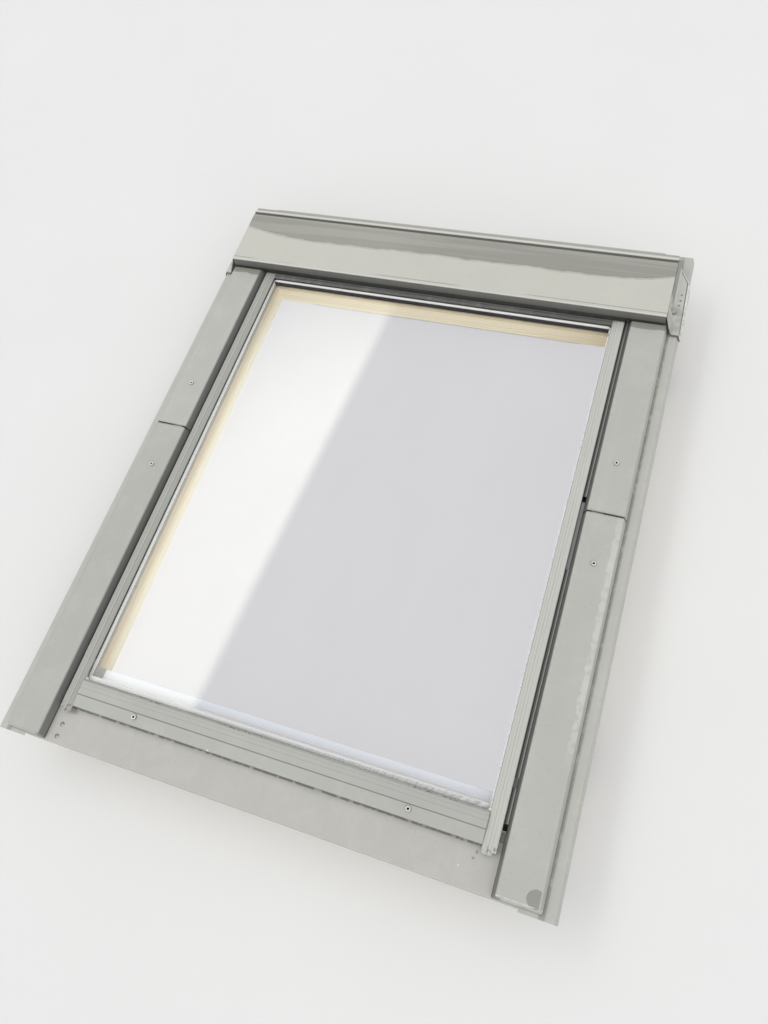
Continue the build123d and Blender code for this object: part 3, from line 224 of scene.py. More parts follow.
    def pick(self, factor, first, second):
        """The first shader at 0 and the second at 1."""
        made = self.node("ShaderNodeMixShader")
        for socket, value in zip(made.inputs, (factor, first, second)):
            self.put(socket, value)
        return made.outputs[0]

    def show(self, surface):
        self.links.new(surface, self.output.inputs["Surface"])

    def finish(self, colour, roughness, metallic=0.0, normal=None, **inputs):
        """The material with its one shader, which is kept for changes."""
        shader = self.node("ShaderNodeBsdfPrincipled", None, Base_Color=colour,
                           Roughness=roughness, **inputs)
        shader.inputs["Metallic"].default_value = metallic
        if normal is not None:
            self.put(shader.inputs["Normal"], normal)
        self.show(shader.outputs[0])
        self.shader = shader
        return self.owner


def material_tree(name):
    return Tree(bpy.data.materials.new(name))


def give(material, *names):
    for name in names:
        mesh = nodes[name].data
        mesh.materials.clear()
        mesh.materials.append(material)


# Painted sheet metal

SHADOW = (50, 52, 49)


def shade(colour, factor):
    """A linear colour made darker or lighter."""
    return (colour[0] * factor, colour[1] * factor, colour[2] * factor, 1.0)


def weathered(tree, paint, dust=0.25, streak=0.5):
    """The paint's colour with patches, run-off streaks and fine dust."""
    colour = rgb(*paint)
    colour = tree.mix(tree.noise(7.0, 4.0), shade(colour, 0.95), shade(colour, 1.05))
    streaks = tree.patches(1.0, 3.0, 0.60, 0.25, stretch=(75.0, 3.0, 20.0))
    colour = tree.over(colour, streaks, 0.16 * streak, (202, 199, 190))
    dusty = tree.both(tree.patches(24.0, 6.0, 0.54, 0.2, roughness=0.7), tree.noise(420.0, 2.0))
    colour = tree.over(colour, dusty, dust, (210, 206, 196))
    return tree.over(colour, tree.specks(420.0, 0.05), 0.45, (88, 86, 78))


def sheet_roughness(tree, low=0.36, high=0.52):
    return tree.blend(tree.noise(30.0, 4.0, shift=3.0), low, high)


def sheet_normal(tree):
    """Long shallow waves in the sheet, and the paint's fine skin over them."""
    waves = tree.bump(tree.noise(5.0, 2.0, shift=1.7), 0.0006, 0.5)
    return tree.bump(tree.noise(1500.0, 1.0), 0.00002, 0.5, waves)


def wet(tree, mask, colour, roughness):
    """Rain water on the sheet: darker and glossy."""
    damp = tree.mix(0.88, colour, rgb(139, 139, 132))
    return tree.mix(mask, colour, damp), tree.blend(mask, roughness, 0.12)


def cover_material():
    """The side covers: wet at the head, dusty along the right edge, with painted shade on their
    inner walls, dirt and painted shade at their foot, and a painted highlight at the lower right
    end.
    """
    tree = material_tree("cover_paint")
    colour = weathered(tree, (178, 178, 173))
    roughness = sheet_roughness(tree)
    right = tree.above(tree.x, MIDDLE, SHARP)
    on_top = tree.above(tree.z, COVER_TOP, SHARP)

    ragged = tree.total(0.3858, tree.scaled(tree.noise(120.0, 5.0), 0.012))
    edge = tree.both(right, tree.above(tree.x, ragged, 0.0012),
                     tree.within(tree.y, -0.33, 0.0, 0.08), on_top)
    dust = tree.both(edge, tree.patches(90.0, 5.0, 0.4, 0.25))
    colour = tree.over(colour, dust, 0.45, (212, 211, 204))

    head = tree.total(0.352, tree.scaled(tree.noise(22.0, 3.0), 0.016))
    damp = tree.both(tree.above(tree.y, head, 0.003), on_top)
    colour, roughness = wet(tree, damp, colour, roughness)

    puddle = tree.spot(0.3935, -0.5165, 0.0115, 0.0115, soft=0.12, wobble=0.35)
    puddle = tree.both(puddle, on_top, tree.below(tree.x, 0.3985, FINE))
    colour = tree.over(colour, puddle, 0.75, (132, 134, 128))
    roughness = tree.blend(puddle, roughness, 0.14)
    # Painted highlight along the wet lower end of the right covers
    lip_highlight = tree.both(tree.within(tree.y, -0.5278, -0.5262, SHARP),
                    tree.patches(60.0, 3.0, 0.46, 0.12), right)
    colour = tree.over(colour, lip_highlight, 0.5, (222, 222, 217))

    low_left = tree.both(tree.below(tree.x, MIDDLE, SHARP), tree.below(tree.y, 0.0125, SHARP))
    colour = tree.over(colour, low_left, 0.09, (96, 94, 91))
    # Painted shade on the inner walls beside the glass
    inner = tree.both(tree.below(tree.z, COVER_WALLS, 0.003),
                      tree.below(tree.across(), COVER_INNER_WALL, 0.004))
    colour = tree.over(colour, inner, 0.6, SHADOW)
    colour = tree.over(colour, tree.within(tree.y, *COVER_SEAM, 0.002), 0.25, (70, 68, 62))
    # Dirt and painted shade in the gap at the covers' foot
    colour = tree.over(colour, tree.below(tree.z, COVER_FOOT, 0.0015), 0.75, (58, 57, 52))
    return tree.finish(colour, roughness, normal=sheet_normal(tree))


def hood_material():
    """The hood: wet along the back to a ragged line, with a painted reflection in the wet, painted
    shade on its front, along a bend near its front, under its front edge, in a groove and behind a
    bead, and painted highlights on a fold and the bead.
    """
    tree = material_tree("hood_paint")
    colour = weathered(tree, (193, 192, 184), dust=0.2, streak=0.3)
    roughness = sheet_roughness(tree)
    on_top = tree.above(tree.z, HOOD_TOP, SHARP)

    ends = tree.math("POWER", tree.scaled(tree.across(), 1 / HOOD_HALF_WIDTH), 9.0)
    wave = tree.scaled(tree.noise(9.0, 4.0), 0.020)
    ragged = tree.scaled(tree.noise(110.0, 4.0, (0.5, 1.4, 1)), 0.005)
    line = tree.total(0.4275, tree.scaled(ends, 0.016), tree.total(wave, ragged))
    damp = tree.both(tree.above(tree.y, line, 0.0012), tree.below(tree.y, 0.4868, 0.002), on_top)
    colour, roughness = wet(tree, damp, colour, roughness)
    # Painted reflection of the sky in the standing water
    pool_reflection = tree.both(damp, tree.patches(34.0, 3.0, 0.52, 0.16, stretch=(0.08, 3.0, 1), shift=8.0))
    colour = tree.over(colour, pool_reflection, 0.17, (196, 196, 188))
    rim = tree.both(tree.above(tree.y, tree.minus(line, 0.0035), 0.002),
                    tree.below(tree.y, line, 0.0015), on_top)
    colour = tree.over(colour, rim, 0.35, (132, 132, 124))

    # Painted shade along the bend near the front of the top
    crease_shade = tree.both(tree.within(tree.y, 0.3793, 0.3812, FINE), on_top)
    crease_shade = tree.both(crease_shade, tree.patches(5.0, 2.0, 0.42, 0.1, shift=9.0))
    colour = tree.over(colour, crease_shade, 0.6, (126, 126, 119))
    front = tree.below(tree.y, HOOD_FRONT, SHARP)
    # Painted shade on the front face, deeper towards its foot
    fascia_shade = tree.both(tree.below(tree.z, HOOD_TOP, 0.0015), front)
    depth = tree.blend(tree.above(tree.z, 0.1225, 0.018), 0.9, 0.78)
    colour = tree.over(colour, fascia_shade, depth, SHADOW)
    # Painted highlight along the front fold
    fold = tree.both(tree.within(tree.y, 0.3738, 0.3757, FINE), tree.above(tree.z, 0.1315, SHARP))
    colour = tree.over(colour, fold, 0.35, (222, 222, 216))
    # Painted shadow under the front edge
    foot = tree.both(tree.below(tree.z, HOOD_FOOT, 0.0012), front)
    colour = tree.over(colour, foot, 0.85, (18, 19, 18))

    # Painted shade in the groove in front of the bead
    groove = tree.both(tree.within(tree.y, 0.4873, 0.4922, 0.0012), on_top)
    colour = tree.over(colour, groove, 0.9, (60, 61, 57))
    # Painted highlight on the bead
    bead = tree.both(tree.within(tree.y, 0.4943, 0.4992, 0.0012), tree.above(tree.z, 0.1305, SHARP))
    colour = tree.over(colour, bead, 0.5, (230, 230, 224))
    # Painted shade on the back slope behind the bead
    colour = tree.over(colour, tree.above(tree.y, 0.5, 0.0015), 0.3, SHADOW)
    return tree.finish(colour, roughness, normal=sheet_normal(tree))


def apron_material():
    """The apron: dirt along the cover above it, with dirt and painted shade in a line at that
    cover's foot, painted shade on its lower faces, a plug of dirt and small stains at its ends.
    """
    tree = material_tree("apron_paint")
    colour = weathered(tree, (180, 179, 174))
    roughness = sheet_roughness(tree)
    grime = tree.both(tree.above(tree.y, -0.482, 0.012), tree.patches(50.0, 4.0, 0.4, 0.3))
    colour = tree.over(colour, grime, 0.35, (120, 118, 108))
    # Dirt and painted shade in a line along the foot of the cover above
    line = tree.both(tree.above(tree.y, -0.4795, SHARP), tree.below(tree.across(), 0.325, 0.002))
    line = tree.both(line, tree.patches(90.0, 3.0, 0.44, 0.1, shift=5.0))
    colour = tree.over(colour, line, 0.6, (66, 64, 57))
    plug = tree.spot(-0.341, -0.4735, 0.005, 0.004, soft=0.4, wobble=0.4)
    colour = tree.over(colour, plug, 0.8, (62, 60, 52))
    stain = tree.spot(-0.3114, -0.4833, 0.0055, 0.004, soft=0.5, wobble=0.8)
    colour = tree.over(colour, stain, 0.3, (96, 94, 86))
    marks = tree.either(tree.spot(0.3074, -0.4953, 0.0022, 0.0016, soft=0.4, wobble=0.3),
                        tree.spot(0.3104, -0.4870, 0.0018, 0.0024, soft=0.4, wobble=0.3))
    colour = tree.over(colour, marks, 0.5, (84, 80, 70))
    chip = tree.below(tree.reach(tree.x, 0.2914, -0.5090), 0.0011, FINE)
    colour = tree.over(colour, chip, 0.7, (230, 229, 224))
    # Painted shade on the faces below the top
    colour = tree.over(colour, tree.below(tree.z, APRON_TOP, 0.002), 0.25, SHADOW)
    return tree.finish(colour, roughness, normal=sheet_normal(tree))


def strip_material():
    """The flashing strips: dirt along the covers, and a painted highlight on the outer fold on the
    right.
    """
    tree = material_tree("strip_paint")
    colour = weathered(tree, (180, 181, 175), dust=0.3, streak=0.4)
    roughness = sheet_roughness(tree)
    grime = tree.both(tree.within(tree.across(), 0.4, 0.4085, 0.003),
                      tree.patches(80.0, 4.0, 0.4, 0.3))
    colour = tree.over(colour, grime, 0.5, (96, 94, 84))
    colour = tree.over(colour, tree.below(tree.x, MIDDLE, SHARP), 0.06, (214, 214, 208))
    # Painted highlight on the outer fold on the right
    colour = tree.over(colour, tree.above(tree.x, 0.4258, FINE), 0.4, (226, 226, 220))
    return tree.finish(colour, roughness, normal=sheet_normal(tree))


def corner_material():
    """Sheet dressed by hand: dark up against the hood, dented and marked outside, with a fold drawn
    in painted shade, painted highlights on the buckled sheet beside it, and painted shade at its
    front end.
    """
    tree = material_tree("corner_sheet")
    colour = weathered(tree, (196, 197, 190), dust=0.3, streak=0.2)
    across = tree.across()
    upstand = tree.both(tree.above(tree.y, 0.421, 0.004), tree.below(across, 0.4046, 0.0015))
    colour = tree.over(colour, upstand, 0.75, (104, 106, 100))
    low = tree.both(tree.below(tree.y, 0.4235, 0.01), tree.patches(60.0, 3.0, 0.45, 0.2))
    colour = tree.over(colour, low, 0.45, (140, 141, 131))
    pits = [tree.below(tree.reach(across, x, y), 0.0022, 0.0012)
            for x, y in ((0.4152, 0.4504), (0.415, 0.4385), (0.414, 0.4283))]
    colour = tree.over(colour, tree.either(*pits), 0.6, (78, 78, 72))
    nail = tree.reach(across, 0.4074, 0.4115)
    rim = tree.both(tree.below(nail, 0.0055, 0.0012), tree.above(nail, 0.0035, SHARP))
    colour = tree.over(colour, rim, 0.5, (84, 84, 78))
    # Painted shade at the front end
    colour = tree.over(colour, tree.below(tree.y, 0.3665, 0.0012), 0.75, (40, 40, 37))

    # A fold that leans outwards from the back and then runs down near the edge, drawn as a line of
    # painted shade, with painted highlights on the buckled sheet beside it
    leaning = tree.total(0.4002, tree.scaled(tree.minus(0.514, tree.y), 0.574))
    straight = tree.total(0.4222, tree.scaled(tree.minus(0.42, tree.y), 0.03))
    off = tree.minus(across, tree.least(leaning, straight))
    fold = tree.below(tree.math("ABSOLUTE", off), 0.0009, 0.0006)
    colour = tree.over(colour, fold, 0.75, (52, 53, 49))
    crumple_highlights = tree.both(tree.within(off, 0.001, 0.0045, SHARP), tree.patches(150.0, 3.0, 0.5, 0.08))
    colour = tree.over(colour, crumple_highlights, 0.7, (238, 238, 232))
    dents = tree.noise(90.0, 2.0, (1, 0.6, 1))
    normal = tree.bump(tree.noise(900.0, 2.0), 0.00003, 0.5, tree.bump(dents, 0.0014, 0.6))
    return tree.finish(colour, tree.blend(dents, 0.3, 0.48), normal=normal)


def profile_material():
    """The strips beside the glass: fluted, with painted shade in the grooves and on the outer walls
    and a painted highlight on the ridge, darker on the left, dirty at the ends.
    """
    tree = material_tree("profile_paint")
    colour = weathered(tree, (188, 189, 183), dust=0.2, streak=0.4)
    colour = tree.over(colour, tree.below(tree.x, MIDDLE, SHARP), 0.4, (97, 98, 94))
    roughness = sheet_roughness(tree, 0.32, 0.46)
    grime = tree.both(tree.below(tree.z, 0.1062, 0.0012), tree.patches(70.0, 4.0, 0.35, 0.3))
    colour = tree.over(colour, grime, 0.3, (110, 110, 102))
    across = tree.across()
    # Painted shade in the grooves
    flute_shade = ((0.3187, 0.3193, HAIR), (0.3228, 0.3235, 0.0006), (0.3272, 0.3278, HAIR))
    flute_shade = [tree.within(across, low, high, soft) for low, high, soft in flute_shade]
    colour = tree.over(colour, tree.either(*flute_shade), 0.3, (104, 105, 99))
    # Painted highlight on the ridge
    crest_highlight = tree.both(tree.within(across, 0.3243, 0.3257, HAIR), tree.above(tree.z, 0.1076, 0.0004))
    colour = tree.over(colour, crest_highlight, 0.4, (224, 225, 218))
    # Painted shade on the outer wall
    wall = tree.both(tree.above(across, 0.3339, HAIR), tree.below(tree.z, 0.1066, SHARP))
    colour = tree.over(colour, wall, 0.6, SHADOW)
    ends = tree.both(tree.below(tree.y, -0.4755, 0.002), tree.patches(240.0, 2.0, 0.56, 0.06))
    colour = tree.over(colour, ends, 0.5, (72, 70, 62))
    return tree.finish(colour, roughness, normal=sheet_normal(tree))


def top_profile_material():
    """The strip under the hood's front, in painted shade: painted shadow at the back, with a bright
    and a faint line of painted highlight.
    """
    tree = material_tree("top_profile_shaded_paint")
    # Darkened as painted shade under the hood
    colour = weathered(tree, (92, 93, 90), dust=0.1, streak=0.6)
    # Painted shadow at the back, under the hood's front
    colour = tree.over(colour, tree.above(tree.y, 0.3736, SHARP), 0.9, (30, 31, 30))
    # Painted highlights, a bright and a faint line
    colour = tree.over(colour, tree.within(tree.y, 0.3714, 0.3730, FINE), 0.6, (176, 177, 172))
    colour = tree.over(colour, tree.within(tree.y, 0.3668, 0.3680, 0.0006), 0.3, (150, 151, 146))
    return tree.finish(colour, sheet_roughness(tree, 0.3, 0.42), normal=sheet_normal(tree))


def bottom_cover_material():
    """The cover below the glass, with grime caught along its upper edge and its foot, and painted
    shade in a step and two fine grooves.
    """
    tree = material_tree("bottom_cover_paint")
    colour = weathered(tree, (172, 173, 168), dust=0.22, streak=0.4)
    bits = tree.both(tree.patches(260.0, 3.0, 0.57, 0.05, shift=2.0),
                     tree.patches(14.0, 2.0, 0.5, 0.1, shift=6.0))
    edge = tree.both(tree.above(tree.y, -0.4368, SHARP), bits)
    colour = tree.over(colour, edge, 0.75, (60, 58, 52))
    foot = tree.both(tree.below(tree.z, 0.1018, FINE), tree.patches(60.0, 4.0, 0.3, 0.3))
    colour = tree.over(colour, foot, 0.8, (54, 52, 46))
    drip = tree.below(tree.reach(tree.x, -0.085, -0.4768), 0.0022, 0.0012)
    colour = tree.over(colour, drip, 0.8, (232, 231, 224))
    # Painted shade in the step and the fine grooves
    step = tree.both(tree.within(tree.y, -0.4590, -0.4574, HAIR), tree.above(tree.z, 0.107, SHARP))
    flute_shade = tree.either(tree.within(tree.y, -0.4482, -0.4476, HAIR),
                         tree.within(tree.y, -0.4418, -0.4413, 0.0004))
    lines = tree.either(tree.scaled(step, 0.6), tree.scaled(flute_shade, 0.35))
    colour = tree.mix(lines, colour, rgb(80, 80, 74))
    return tree.finish(colour, sheet_roughness(tree, 0.34, 0.48), normal=sheet_normal(tree))


# Metal without paint

def bare_metal(name, paint, roughness, brushed, dull=0.15):
    """Metal with fine lines and dull spots. Brushed is how dense the lines are along each axis."""
    tree = material_tree(name)
    lines = tree.noise(40.0, 3.0, brushed)
    tint = tree.mix(lines, shade(rgb(*paint), 0.86), shade(rgb(*paint), 1.06))
    tint = tree.over(tint, tree.patches(55.0, 5.0, 0.62, 0.12, shift=5.0), dull, (120, 116, 104))
    roughness = tree.blend(lines, roughness * 0.8, roughness * 1.25)
    return tree.finish(tint, roughness, metallic=1.0, normal=tree.bump(lines, 0.00003, 0.5))


def spacer_material():
    """Bright along its upper half; ribbed at the foot of the glass and in painted shade at the
    head.
    """
    tree = material_tree("spacer_metal")
    # Painted shade on the spacer at the head of the glass
    head = tree.both(tree.above(tree.y, 0.3605, SHARP), tree.below(tree.z, 0.0972, 0.0004))
    bright = tree.both(tree.above(tree.z, 0.0895, FINE), tree.minus(1.0, head))
    ribs = tree.below(tree.waves(tree.y, 0.0024), -0.75, 0.3)
    foot = tree.both(tree.below(tree.y, -0.4265, HAIR), ribs)
    lower = tree.mix(head, rgb(150, 148, 142), rgb(20, 18, 15))
    colour = tree.mix(bright, lower, rgb(250, 250, 248))
    colour = tree.over(colour, foot, 0.35, (120, 120, 122))
    holes = tree.both(tree.specks(300.0, 0.5), tree.below(bright, 0.5, 0.1))
    colour = tree.over(colour, holes, 0.3, (96, 94, 90))
    roughness = tree.blend(bright, 0.42, 0.3)
    normal = tree.bump(tree.noise(600.0, 2.0), 0.00004, 0.5)
    return tree.finish(colour, roughness, metallic=0.2, normal=normal)


def socket_screws():
    """Pan heads with a pale face, painted shade in the socket and painted shade on the edge."""
    tree = material_tree("stainless_fasteners")
    across = tree.across()
    near = tree.least(*(tree.reach(across, x, y) for x, y in COVER_SCREWS))
    # Painted shade in the socket
    socket = tree.below(near, 0.0019, FINE)
    grain = tree.noise(500.0, 3.0)
    colour = tree.mix(grain, rgb(216, 216, 211), rgb(236, 235, 230))
    colour = tree.mix(socket, colour, rgb(34, 33, 31))
    # Painted shade on the rounded edge
    colour = tree.over(colour, tree.above(near, 0.0034, 0.0006), 0.7, (88, 88, 82))
    roughness = tree.blend(socket, 0.34, 0.8)
    return tree.finish(colour, roughness, metallic=0.15, normal=tree.bump(grain, 0.00003, 0.5))


# Timber

def pine_material(name, along, heart, sash=False, ledge=False):
    """Varnished pine. The heart of the log runs along the piece, at the given place across it."""
    tree = material_tree(name)

    def grain_wise(factor):
        """Squeezes a pattern along the grain."""
        return (1.0, factor, 1.0) if along == "y" else (factor, 1.0, 1.0)

    side = tree.across() if along == "y" else tree.y
    drift = tree.noise(34.0, 2.0, (0.4, 0.14, 0.4) if along == "y" else (0.14, 0.4, 0.4), shift=0.7)
    waver = tree.noise(60.0, 2.0, grain_wise(0.05), shift=2.3)
    far = tree.hypotenuse(tree.minus(side, heart[0]), tree.minus(tree.z, heart[1]))
    far = tree.total(far, tree.total(tree.scaled(drift, 0.045), tree.scaled(waver, 0.0035)))
    late_wood = tree.above(tree.waves(far, 0.0042), 0.45, 1.1)
    fibres = tree.noise(420.0, 3.0, grain_wise(0.03))
    tone = tree.noise(6.0, 2.0, grain_wise(0.05), shift=4.0)
    colour = tree.mix(tone, rgb(254, 247, 220), rgb(250, 239, 206))
    colour = tree.over(colour, late_wood, 0.5, (228, 197, 146))
    colour = tree.over(colour, fibres, 0.22, (228, 200, 154))

    cell = tree.node("ShaderNodeMapping", Vector=tree.place)
    cell.inputs["Scale"].default_value = grain_wise(0.4)
    knots = tree.node("ShaderNodeTexVoronoi", Vector=cell.outputs[0], Scale=7.0)
    knot = tree.below(knots.outputs["Distance"], 0.05, 0.03)
    colour = tree.over(colour, knot, 0.7, (158, 104, 58))
    if sash:
        colour = sash_marks(tree, colour, 0.0735 if along == "x" else 0.0675)
    if ledge:
        colour = ledge_paint(tree, colour, tone)
    roughness = tree.blend(fibres, 0.34, 0.5)
    return tree.finish(colour, roughness, normal=tree.bump(fibres, 0.00012, 0.5), Coat_Weight=0.15)


def sash_marks(tree, colour, rebate_low):
    """The sash's painted shade in the rebate and the right hinge pocket, a dark top for a metal
    capping in painted shade, paler in the right gutter, with a lighter line there.
    """
    # Painted shade in the rebate
    rebate = tree.within(tree.z, rebate_low, SASH_TOP, 0.0012)
    colour = tree.over(colour, rebate, 0.5, (184, 164, 122))
    # Painted shade in the right hinge pocket
    pocket = tree.both(tree.above(tree.x, 0.335, FINE), tree.within(tree.y, -0.0485, 0.0485, SHARP))
    pocket = tree.both(pocket, tree.above(tree.z, 0.08, 0.004))
    colour = tree.over(colour, pocket, 0.85, (92, 93, 89))
    # A dark grey top that stands for a metal capping in painted shade
    capping_and_shade = tree.above(tree.z, SASH_TOP, 0.0006)
    colour = tree.mix(capping_and_shade, colour, rgb(58, 60, 58))
    colour = tree.mix(tree.both(capping_and_shade, tree.above(tree.x, 0.3362, FINE)), colour, rgb(112, 113, 108))
    # A lighter line along the right gutter
    gutter_light_line = tree.both(capping_and_shade, tree.within(tree.x, 0.3384, 0.3400, FINE))
    return tree.over(colour, gutter_light_line, 0.85, (206, 207, 201))


def ledge_paint(tree, colour, tone):
    """The pale ledge at the foot of the glass, with fine lines and putty in its left corner."""
    paint = tree.mix(tone, rgb(234, 238, 246), rgb(240, 243, 249))
    lit = tree.below(tree.y, -0.4183, 0.0004)
    paint = tree.mix(lit, paint, rgb(250, 250, 252))
    lines = tree.below(tree.waves(tree.y, 0.0031), -0.78, 0.25)
    paint = tree.over(paint, tree.both(lines, lit), 0.4, (176, 180, 190))
    paint = tree.over(paint, tree.below(tree.x, -0.3035, 0.0015), 0.9, (158, 162, 160))
    return tree.mix(tree.above(tree.z, LEDGE_TOP, 0.0004), colour, paint)


# Rubber, foam and plastic

def dull_material(name, paint, roughness, scale, depth):
    """A matt grainy stuff with a little dust on it."""
    tree = material_tree(name)
    grain = tree.noise(scale, 4.0)
    dust = tree.both(tree.patches(40.0, 5.0, 0.5, 0.3), grain)
    tint = tree.mix(grain, shade(rgb(*paint), 0.8), shade(rgb(*paint), 1.25))
    tint = tree.over(tint, dust, 0.25, (150, 146, 134))
    roughness = tree.blend(grain, roughness, roughness + 0.12)
    return tree.finish(tint, roughness, normal=tree.bump(grain, depth, 0.6))


def gasket_material():
    """Black rubber round the glass, pale with sealant in the lower left corner, and painted light
    along its foot.
    """
    tree = material_tree("gasket_rubber")
    grain = tree.noise(700.0, 4.0)
    colour = tree.mix(grain, rgb(28, 27, 25), rgb(46, 45, 41))
    dust = tree.both(tree.patches(60.0, 5.0, 0.5, 0.3), grain)
    colour = tree.over(colour, dust, 0.25, (112, 108, 98))
    smear = tree.both(tree.below(tree.x, -0.3, 0.01), tree.below(tree.y, -0.402, 0.006))
    smear = tree.both(smear, tree.patches(80.0, 3.0, 0.4, 0.15))
    colour = tree.over(colour, smear, 0.85, (150, 152, 150))
    # Painted light: the foot is made nearly white
    foot = tree.both(tree.below(tree.y, -0.4305, SHARP),
                     tree.patches(260.0, 2.0, 0.28, 0.1, stretch=(0.6, 1, 1)))
    colour = tree.over(colour, foot, 0.95, (240, 240, 238))
    return tree.finish(colour, tree.blend(grain, 0.45, 0.6), normal=tree.bump(grain, 0.00005, 0.6))


# Glass

def glass_material(name, drops):
    """Clear glass with faint smears. Shadow and diffuse rays pass straight through, so what lies
    under it gets its full light. Drops are the outer pane's water and its pale edges."""
    tree = material_tree(name)
    smears = tree.patches(9.0, 6.0, 0.52, 0.25, stretch=(1.0, 0.5, 1.0), roughness=0.65)
    clean, smeared = (0.984, 0.985, 0.99, 1.0), (0.968, 0.971, 0.98, 1.0)
    colour = tree.mix(tree.scaled(smears, 0.4), clean, smeared)
    if drops:
        beads = tree.patches(260.0, 2.0, 0.41, 0.05, stretch=(0.5, 1, 1))
        line = tree.both(tree.above(tree.x, 0.3124, FINE), beads)
        scatter = tree.both(tree.above(tree.x, 0.306, 0.004), tree.specks(330.0, 0.10))
        # The white band at the head: water, and a painted highlight along the edge
        head = tree.above(tree.y, 0.3598, 0.0006)
        foot = tree.both(tree.below(tree.y, -0.4262, HAIR), tree.below(tree.z, 0.0985, 0.0004))
        white = tree.either(line, scatter, head, foot)
        colour = tree.mix(white, colour, rgb(250, 250, 250))
        ribs = tree.below(tree.waves(tree.y, 0.0026), -0.2, 0.8)
        colour = tree.over(colour, tree.both(foot, ribs), 0.3, (150, 154, 162))
    tree.finish(colour, tree.scaled(smears, 0.02), Transmission_Weight=1.0)
    if drops:
        see_through = tree.minus(1.0, tree.scaled(white, 0.85))
        tree.put(tree.shader.inputs["Transmission Weight"], see_through)
    tree.shader.inputs["IOR"].default_value = 1.46
    clear = tree.node("ShaderNodeBsdfTransparent", None, Color=(0.985, 0.988, 0.99, 1.0))
    ray = tree.node("ShaderNodeLightPath").outputs
    straight = tree.either(ray["Is Shadow Ray"], ray["Is Diffuse Ray"])
    tree.show(tree.pick(straight, tree.shader.outputs[0], clear.outputs[0]))
    return tree.owner


give(cover_material(),
     "upper_cover_left", "upper_cover_right", "lower_cover_left", "lower_cover_right")
give(hood_material(), "hood")
give(apron_material(), "apron")
give(strip_material(), "flashing_left", "flashing_right", "flashing_top")
give(corner_material(), "flashing_corner_left", "flashing_corner_right")
give(profile_material(), "sash_profile_left", "sash_profile_right")
give(top_profile_material(), "sash_profile_top")
give(bottom_cover_material(), "sash_bottom_cover")
give(pine_material("pine_along", "y", heart=(0.33, 0.02)), "frame_side_left", "frame_side_right")
give(pine_material("pine_across", "x", heart=(0.44, 0.01)), "frame_top", "frame_bottom")
give(pine_material("sash_pine_along", "y", heart=(0.345, 0.015), sash=True),
     "sash_side_left", "sash_side_right")
give(pine_material("sash_pine_across", "x", heart=(0.385, 0.018), sash=True), "sash_top")
give(pine_material("sash_pine_ledge", "x", heart=(-0.44, 0.02), ledge=True), "sash_bottom")
give(glass_material("outer_glass", drops=True), "outer_pane")
give(glass_material("inner_glass", drops=False), "inner_pane")
give(spacer_material(), "pane_spacer")
give(bare_metal("zinc_sheet", (190, 191, 192), roughness=0.34, brushed=(30, 2, 30)),
     "upper_cover_clips", "hood_brackets", "apron_brackets", "mounting_brackets", "striker_plate",
     "bar_brackets")
give(dull_material("clip_metal", (112, 112, 106), roughness=0.4, scale=300.0, depth=0.00005),
     "lower_cover_clips")
give(bare_metal("zinc_fasteners", (196, 194, 186), roughness=0.3, brushed=(1, 1, 1), dull=0.3),
     "frame_joint_screws", "frame_screws", "flashing_nails", "sash_hinge_screws", "latch_bolt")
give(socket_screws(), "upper_cover_screws", "sash_cover_screws")
give(bare_metal("rivet_metal", (170, 170, 164), roughness=0.4, brushed=(1, 1, 1), dull=0.4),
     "apron_rivets")
give(bare_metal("hinge_steel", (150, 151, 150), roughness=0.36, brushed=(20, 2, 20)),
     "hinge_housing_left", "hinge_housing_right", "sash_hinge_left", "sash_hinge_right")
give(bare_metal("carrier_metal", (188, 190, 190), roughness=0.38, brushed=(2, 40, 40)),
     "sash_bottom_carrier")
give(bare_metal("bar_metal", (214, 215, 217), roughness=0.24, brushed=(1, 70, 70), dull=0.03),
     "control_bar", "vent_flap")
give(bare_metal("brass", (206, 170, 96), roughness=0.26, brushed=(1, 40, 40)),
     "barrel_bolt", "bolt_housing", "bolt_bushes")
give(gasket_material(), "glazing_gasket")
give(dull_material("black_rubber", (46, 45, 42), roughness=0.5, scale=700.0, depth=0.00005),
     "frame_seals")
give(dull_material("pane_sealant", (44, 44, 42), roughness=0.6, scale=300.0, depth=0.0001),
     "pane_edge_seal")
give(dull_material("dark_foam", (62, 62, 60), roughness=0.8, scale=900.0, depth=0.0003),
     "glazing_tape", "air_filter")
give(dull_material("dark_plastic", (66, 67, 66), roughness=0.42, scale=1200.0, depth=0.00003),
     "hood_end_left", "hood_end_right", "setting_blocks", "latch_case")


# Floor, light and camera

FLOOR_HALF = 30.0
FLOOR_GAP = 0.0004
CLOUD_SIDE = (-0.9017, 0.0776, -0.4253)
SKY_LOW, SKY_HIGH = (0.38, 0.384, 0.39, 1), (0.78, 0.784, 0.798, 1)
CLOUD_GLOW = (2.0, 1.98, 1.72)
SUN_DIRECTION = (-0.42, 0.62, -0.66)

# Fitted to the photograph
FOCAL_LENGTH, FRAME_HEIGHT = 770.624, 1024
SENSOR = 36.0
CAMERA_PLACE = (0.37978, -0.50998, 1.17804)
CAMERA_RIGHT = (0.93782, 0.30610, -0.16371)
CAMERA_UP = (-0.21010, 0.87595, 0.43424)
CAMERA_BACK = (0.27633, -0.37284, 0.88580)


def add_object(name, data):
    made = bpy.data.objects.new(name, data)
    scene.collection.objects.link(made)
    return made


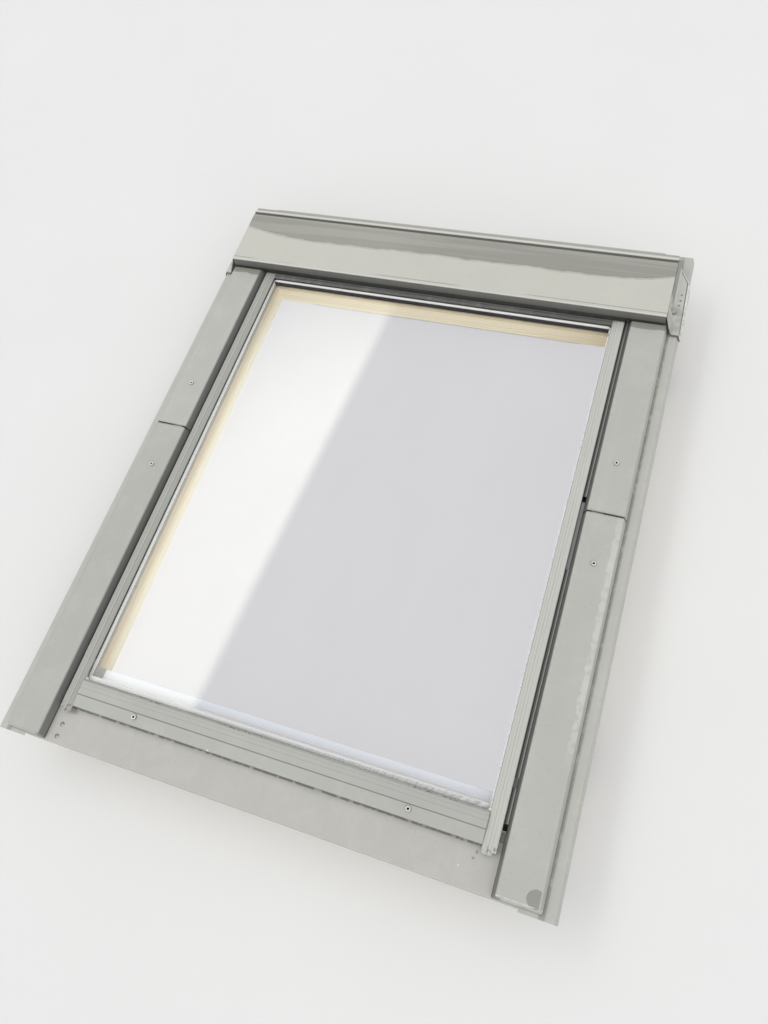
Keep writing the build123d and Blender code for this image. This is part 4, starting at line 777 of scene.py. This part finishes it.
def floor():
    """A plain pale floor, which is almost an even grey where it is seen through the glass."""
    mesh = bpy.data.meshes.new("floor")
    low = cad_box[0][2] - FLOOR_GAP
    corners = ((-1, -1), (1, -1), (1, 1), (-1, 1))
    corners = [(x * FLOOR_HALF, y * FLOOR_HALF, low) for x, y in corners]
    mesh.from_pydata(corners, [], [(0, 1, 2, 3)])
    plane = add_object("floor", mesh)
    tree = material_tree("floor_paint")
    tree.finish(tree.mix(tree.noise(3.0, 3.0), rgb(226, 226, 226), rgb(230, 230, 230)), 0.9)
    plain = tree.node("ShaderNodeEmission", None, Color=(0.67, 0.665, 0.682, 1.0))
    through = tree.scaled(tree.node("ShaderNodeLightPath").outputs["Is Transmission Ray"], 0.9)
    tree.show(tree.pick(through, tree.shader.outputs[0], plain.outputs[0]))
    mesh.materials.append(tree.owner)


def soft_sun():
    """Light from the lower right, soft enough to leave no hard shadow."""
    data = bpy.data.lights.new("soft_sun", "SUN")
    data.energy = 1.1
    data.angle = math.radians(70)
    lamp = add_object("soft_sun", data)
    lamp.rotation_euler = Vector(SUN_DIRECTION).to_track_quat("-Z", "Y").to_euler()


def sky():
    """Overcast light, with a brighter bank of cloud to the left that the glass mirrors."""
    scene.world = bpy.data.worlds.new("sky")
    tree = Tree(scene.world, "ShaderNodeOutputWorld", "Generated")
    side = tree.node("ShaderNodeVectorMath", {"operation": "DOT_PRODUCT"})
    tree.put(side.inputs[0], tree.place)
    tree.put(side.inputs[1], CLOUD_SIDE)
    side = side.outputs["Value"]
    bank = tree.both(tree.ramp(side, 0.0, 0.018), tree.ramp(side, 0.5, 0.25),
                     tree.ramp(tree.z, 0.64, 0.82))
    base = tree.mix(tree.ramp(tree.z, -0.1, 0.85), SKY_LOW, SKY_HIGH)
    glow = tree.node("ShaderNodeCombineXYZ")
    for socket, strength in zip(glow.inputs, CLOUD_GLOW):
        tree.put(socket, tree.scaled(bank, strength))
    bright = tree.mix(1.0, base, glow.outputs[0], way="ADD")
    light = tree.node("ShaderNodeBackground", None, Color=bright)
    seen = tree.node("ShaderNodeBackground", None, Color=rgb(238, 238, 237))
    camera_ray = tree.node("ShaderNodeLightPath").outputs["Is Camera Ray"]
    tree.show(tree.pick(camera_ray, light.outputs[0], seen.outputs[0]))


floor()
sky()
soft_sun()

camera_data = bpy.data.cameras.new("camera")
camera = add_object("camera", camera_data)
scene.camera = camera
camera_data.sensor_width = SENSOR
camera_data.lens = FOCAL_LENGTH / FRAME_HEIGHT * SENSOR
turn = Matrix((CAMERA_RIGHT, CAMERA_UP, CAMERA_BACK)).transposed().to_4x4()
camera.matrix_world = Matrix.Translation(CAMERA_PLACE) @ turn
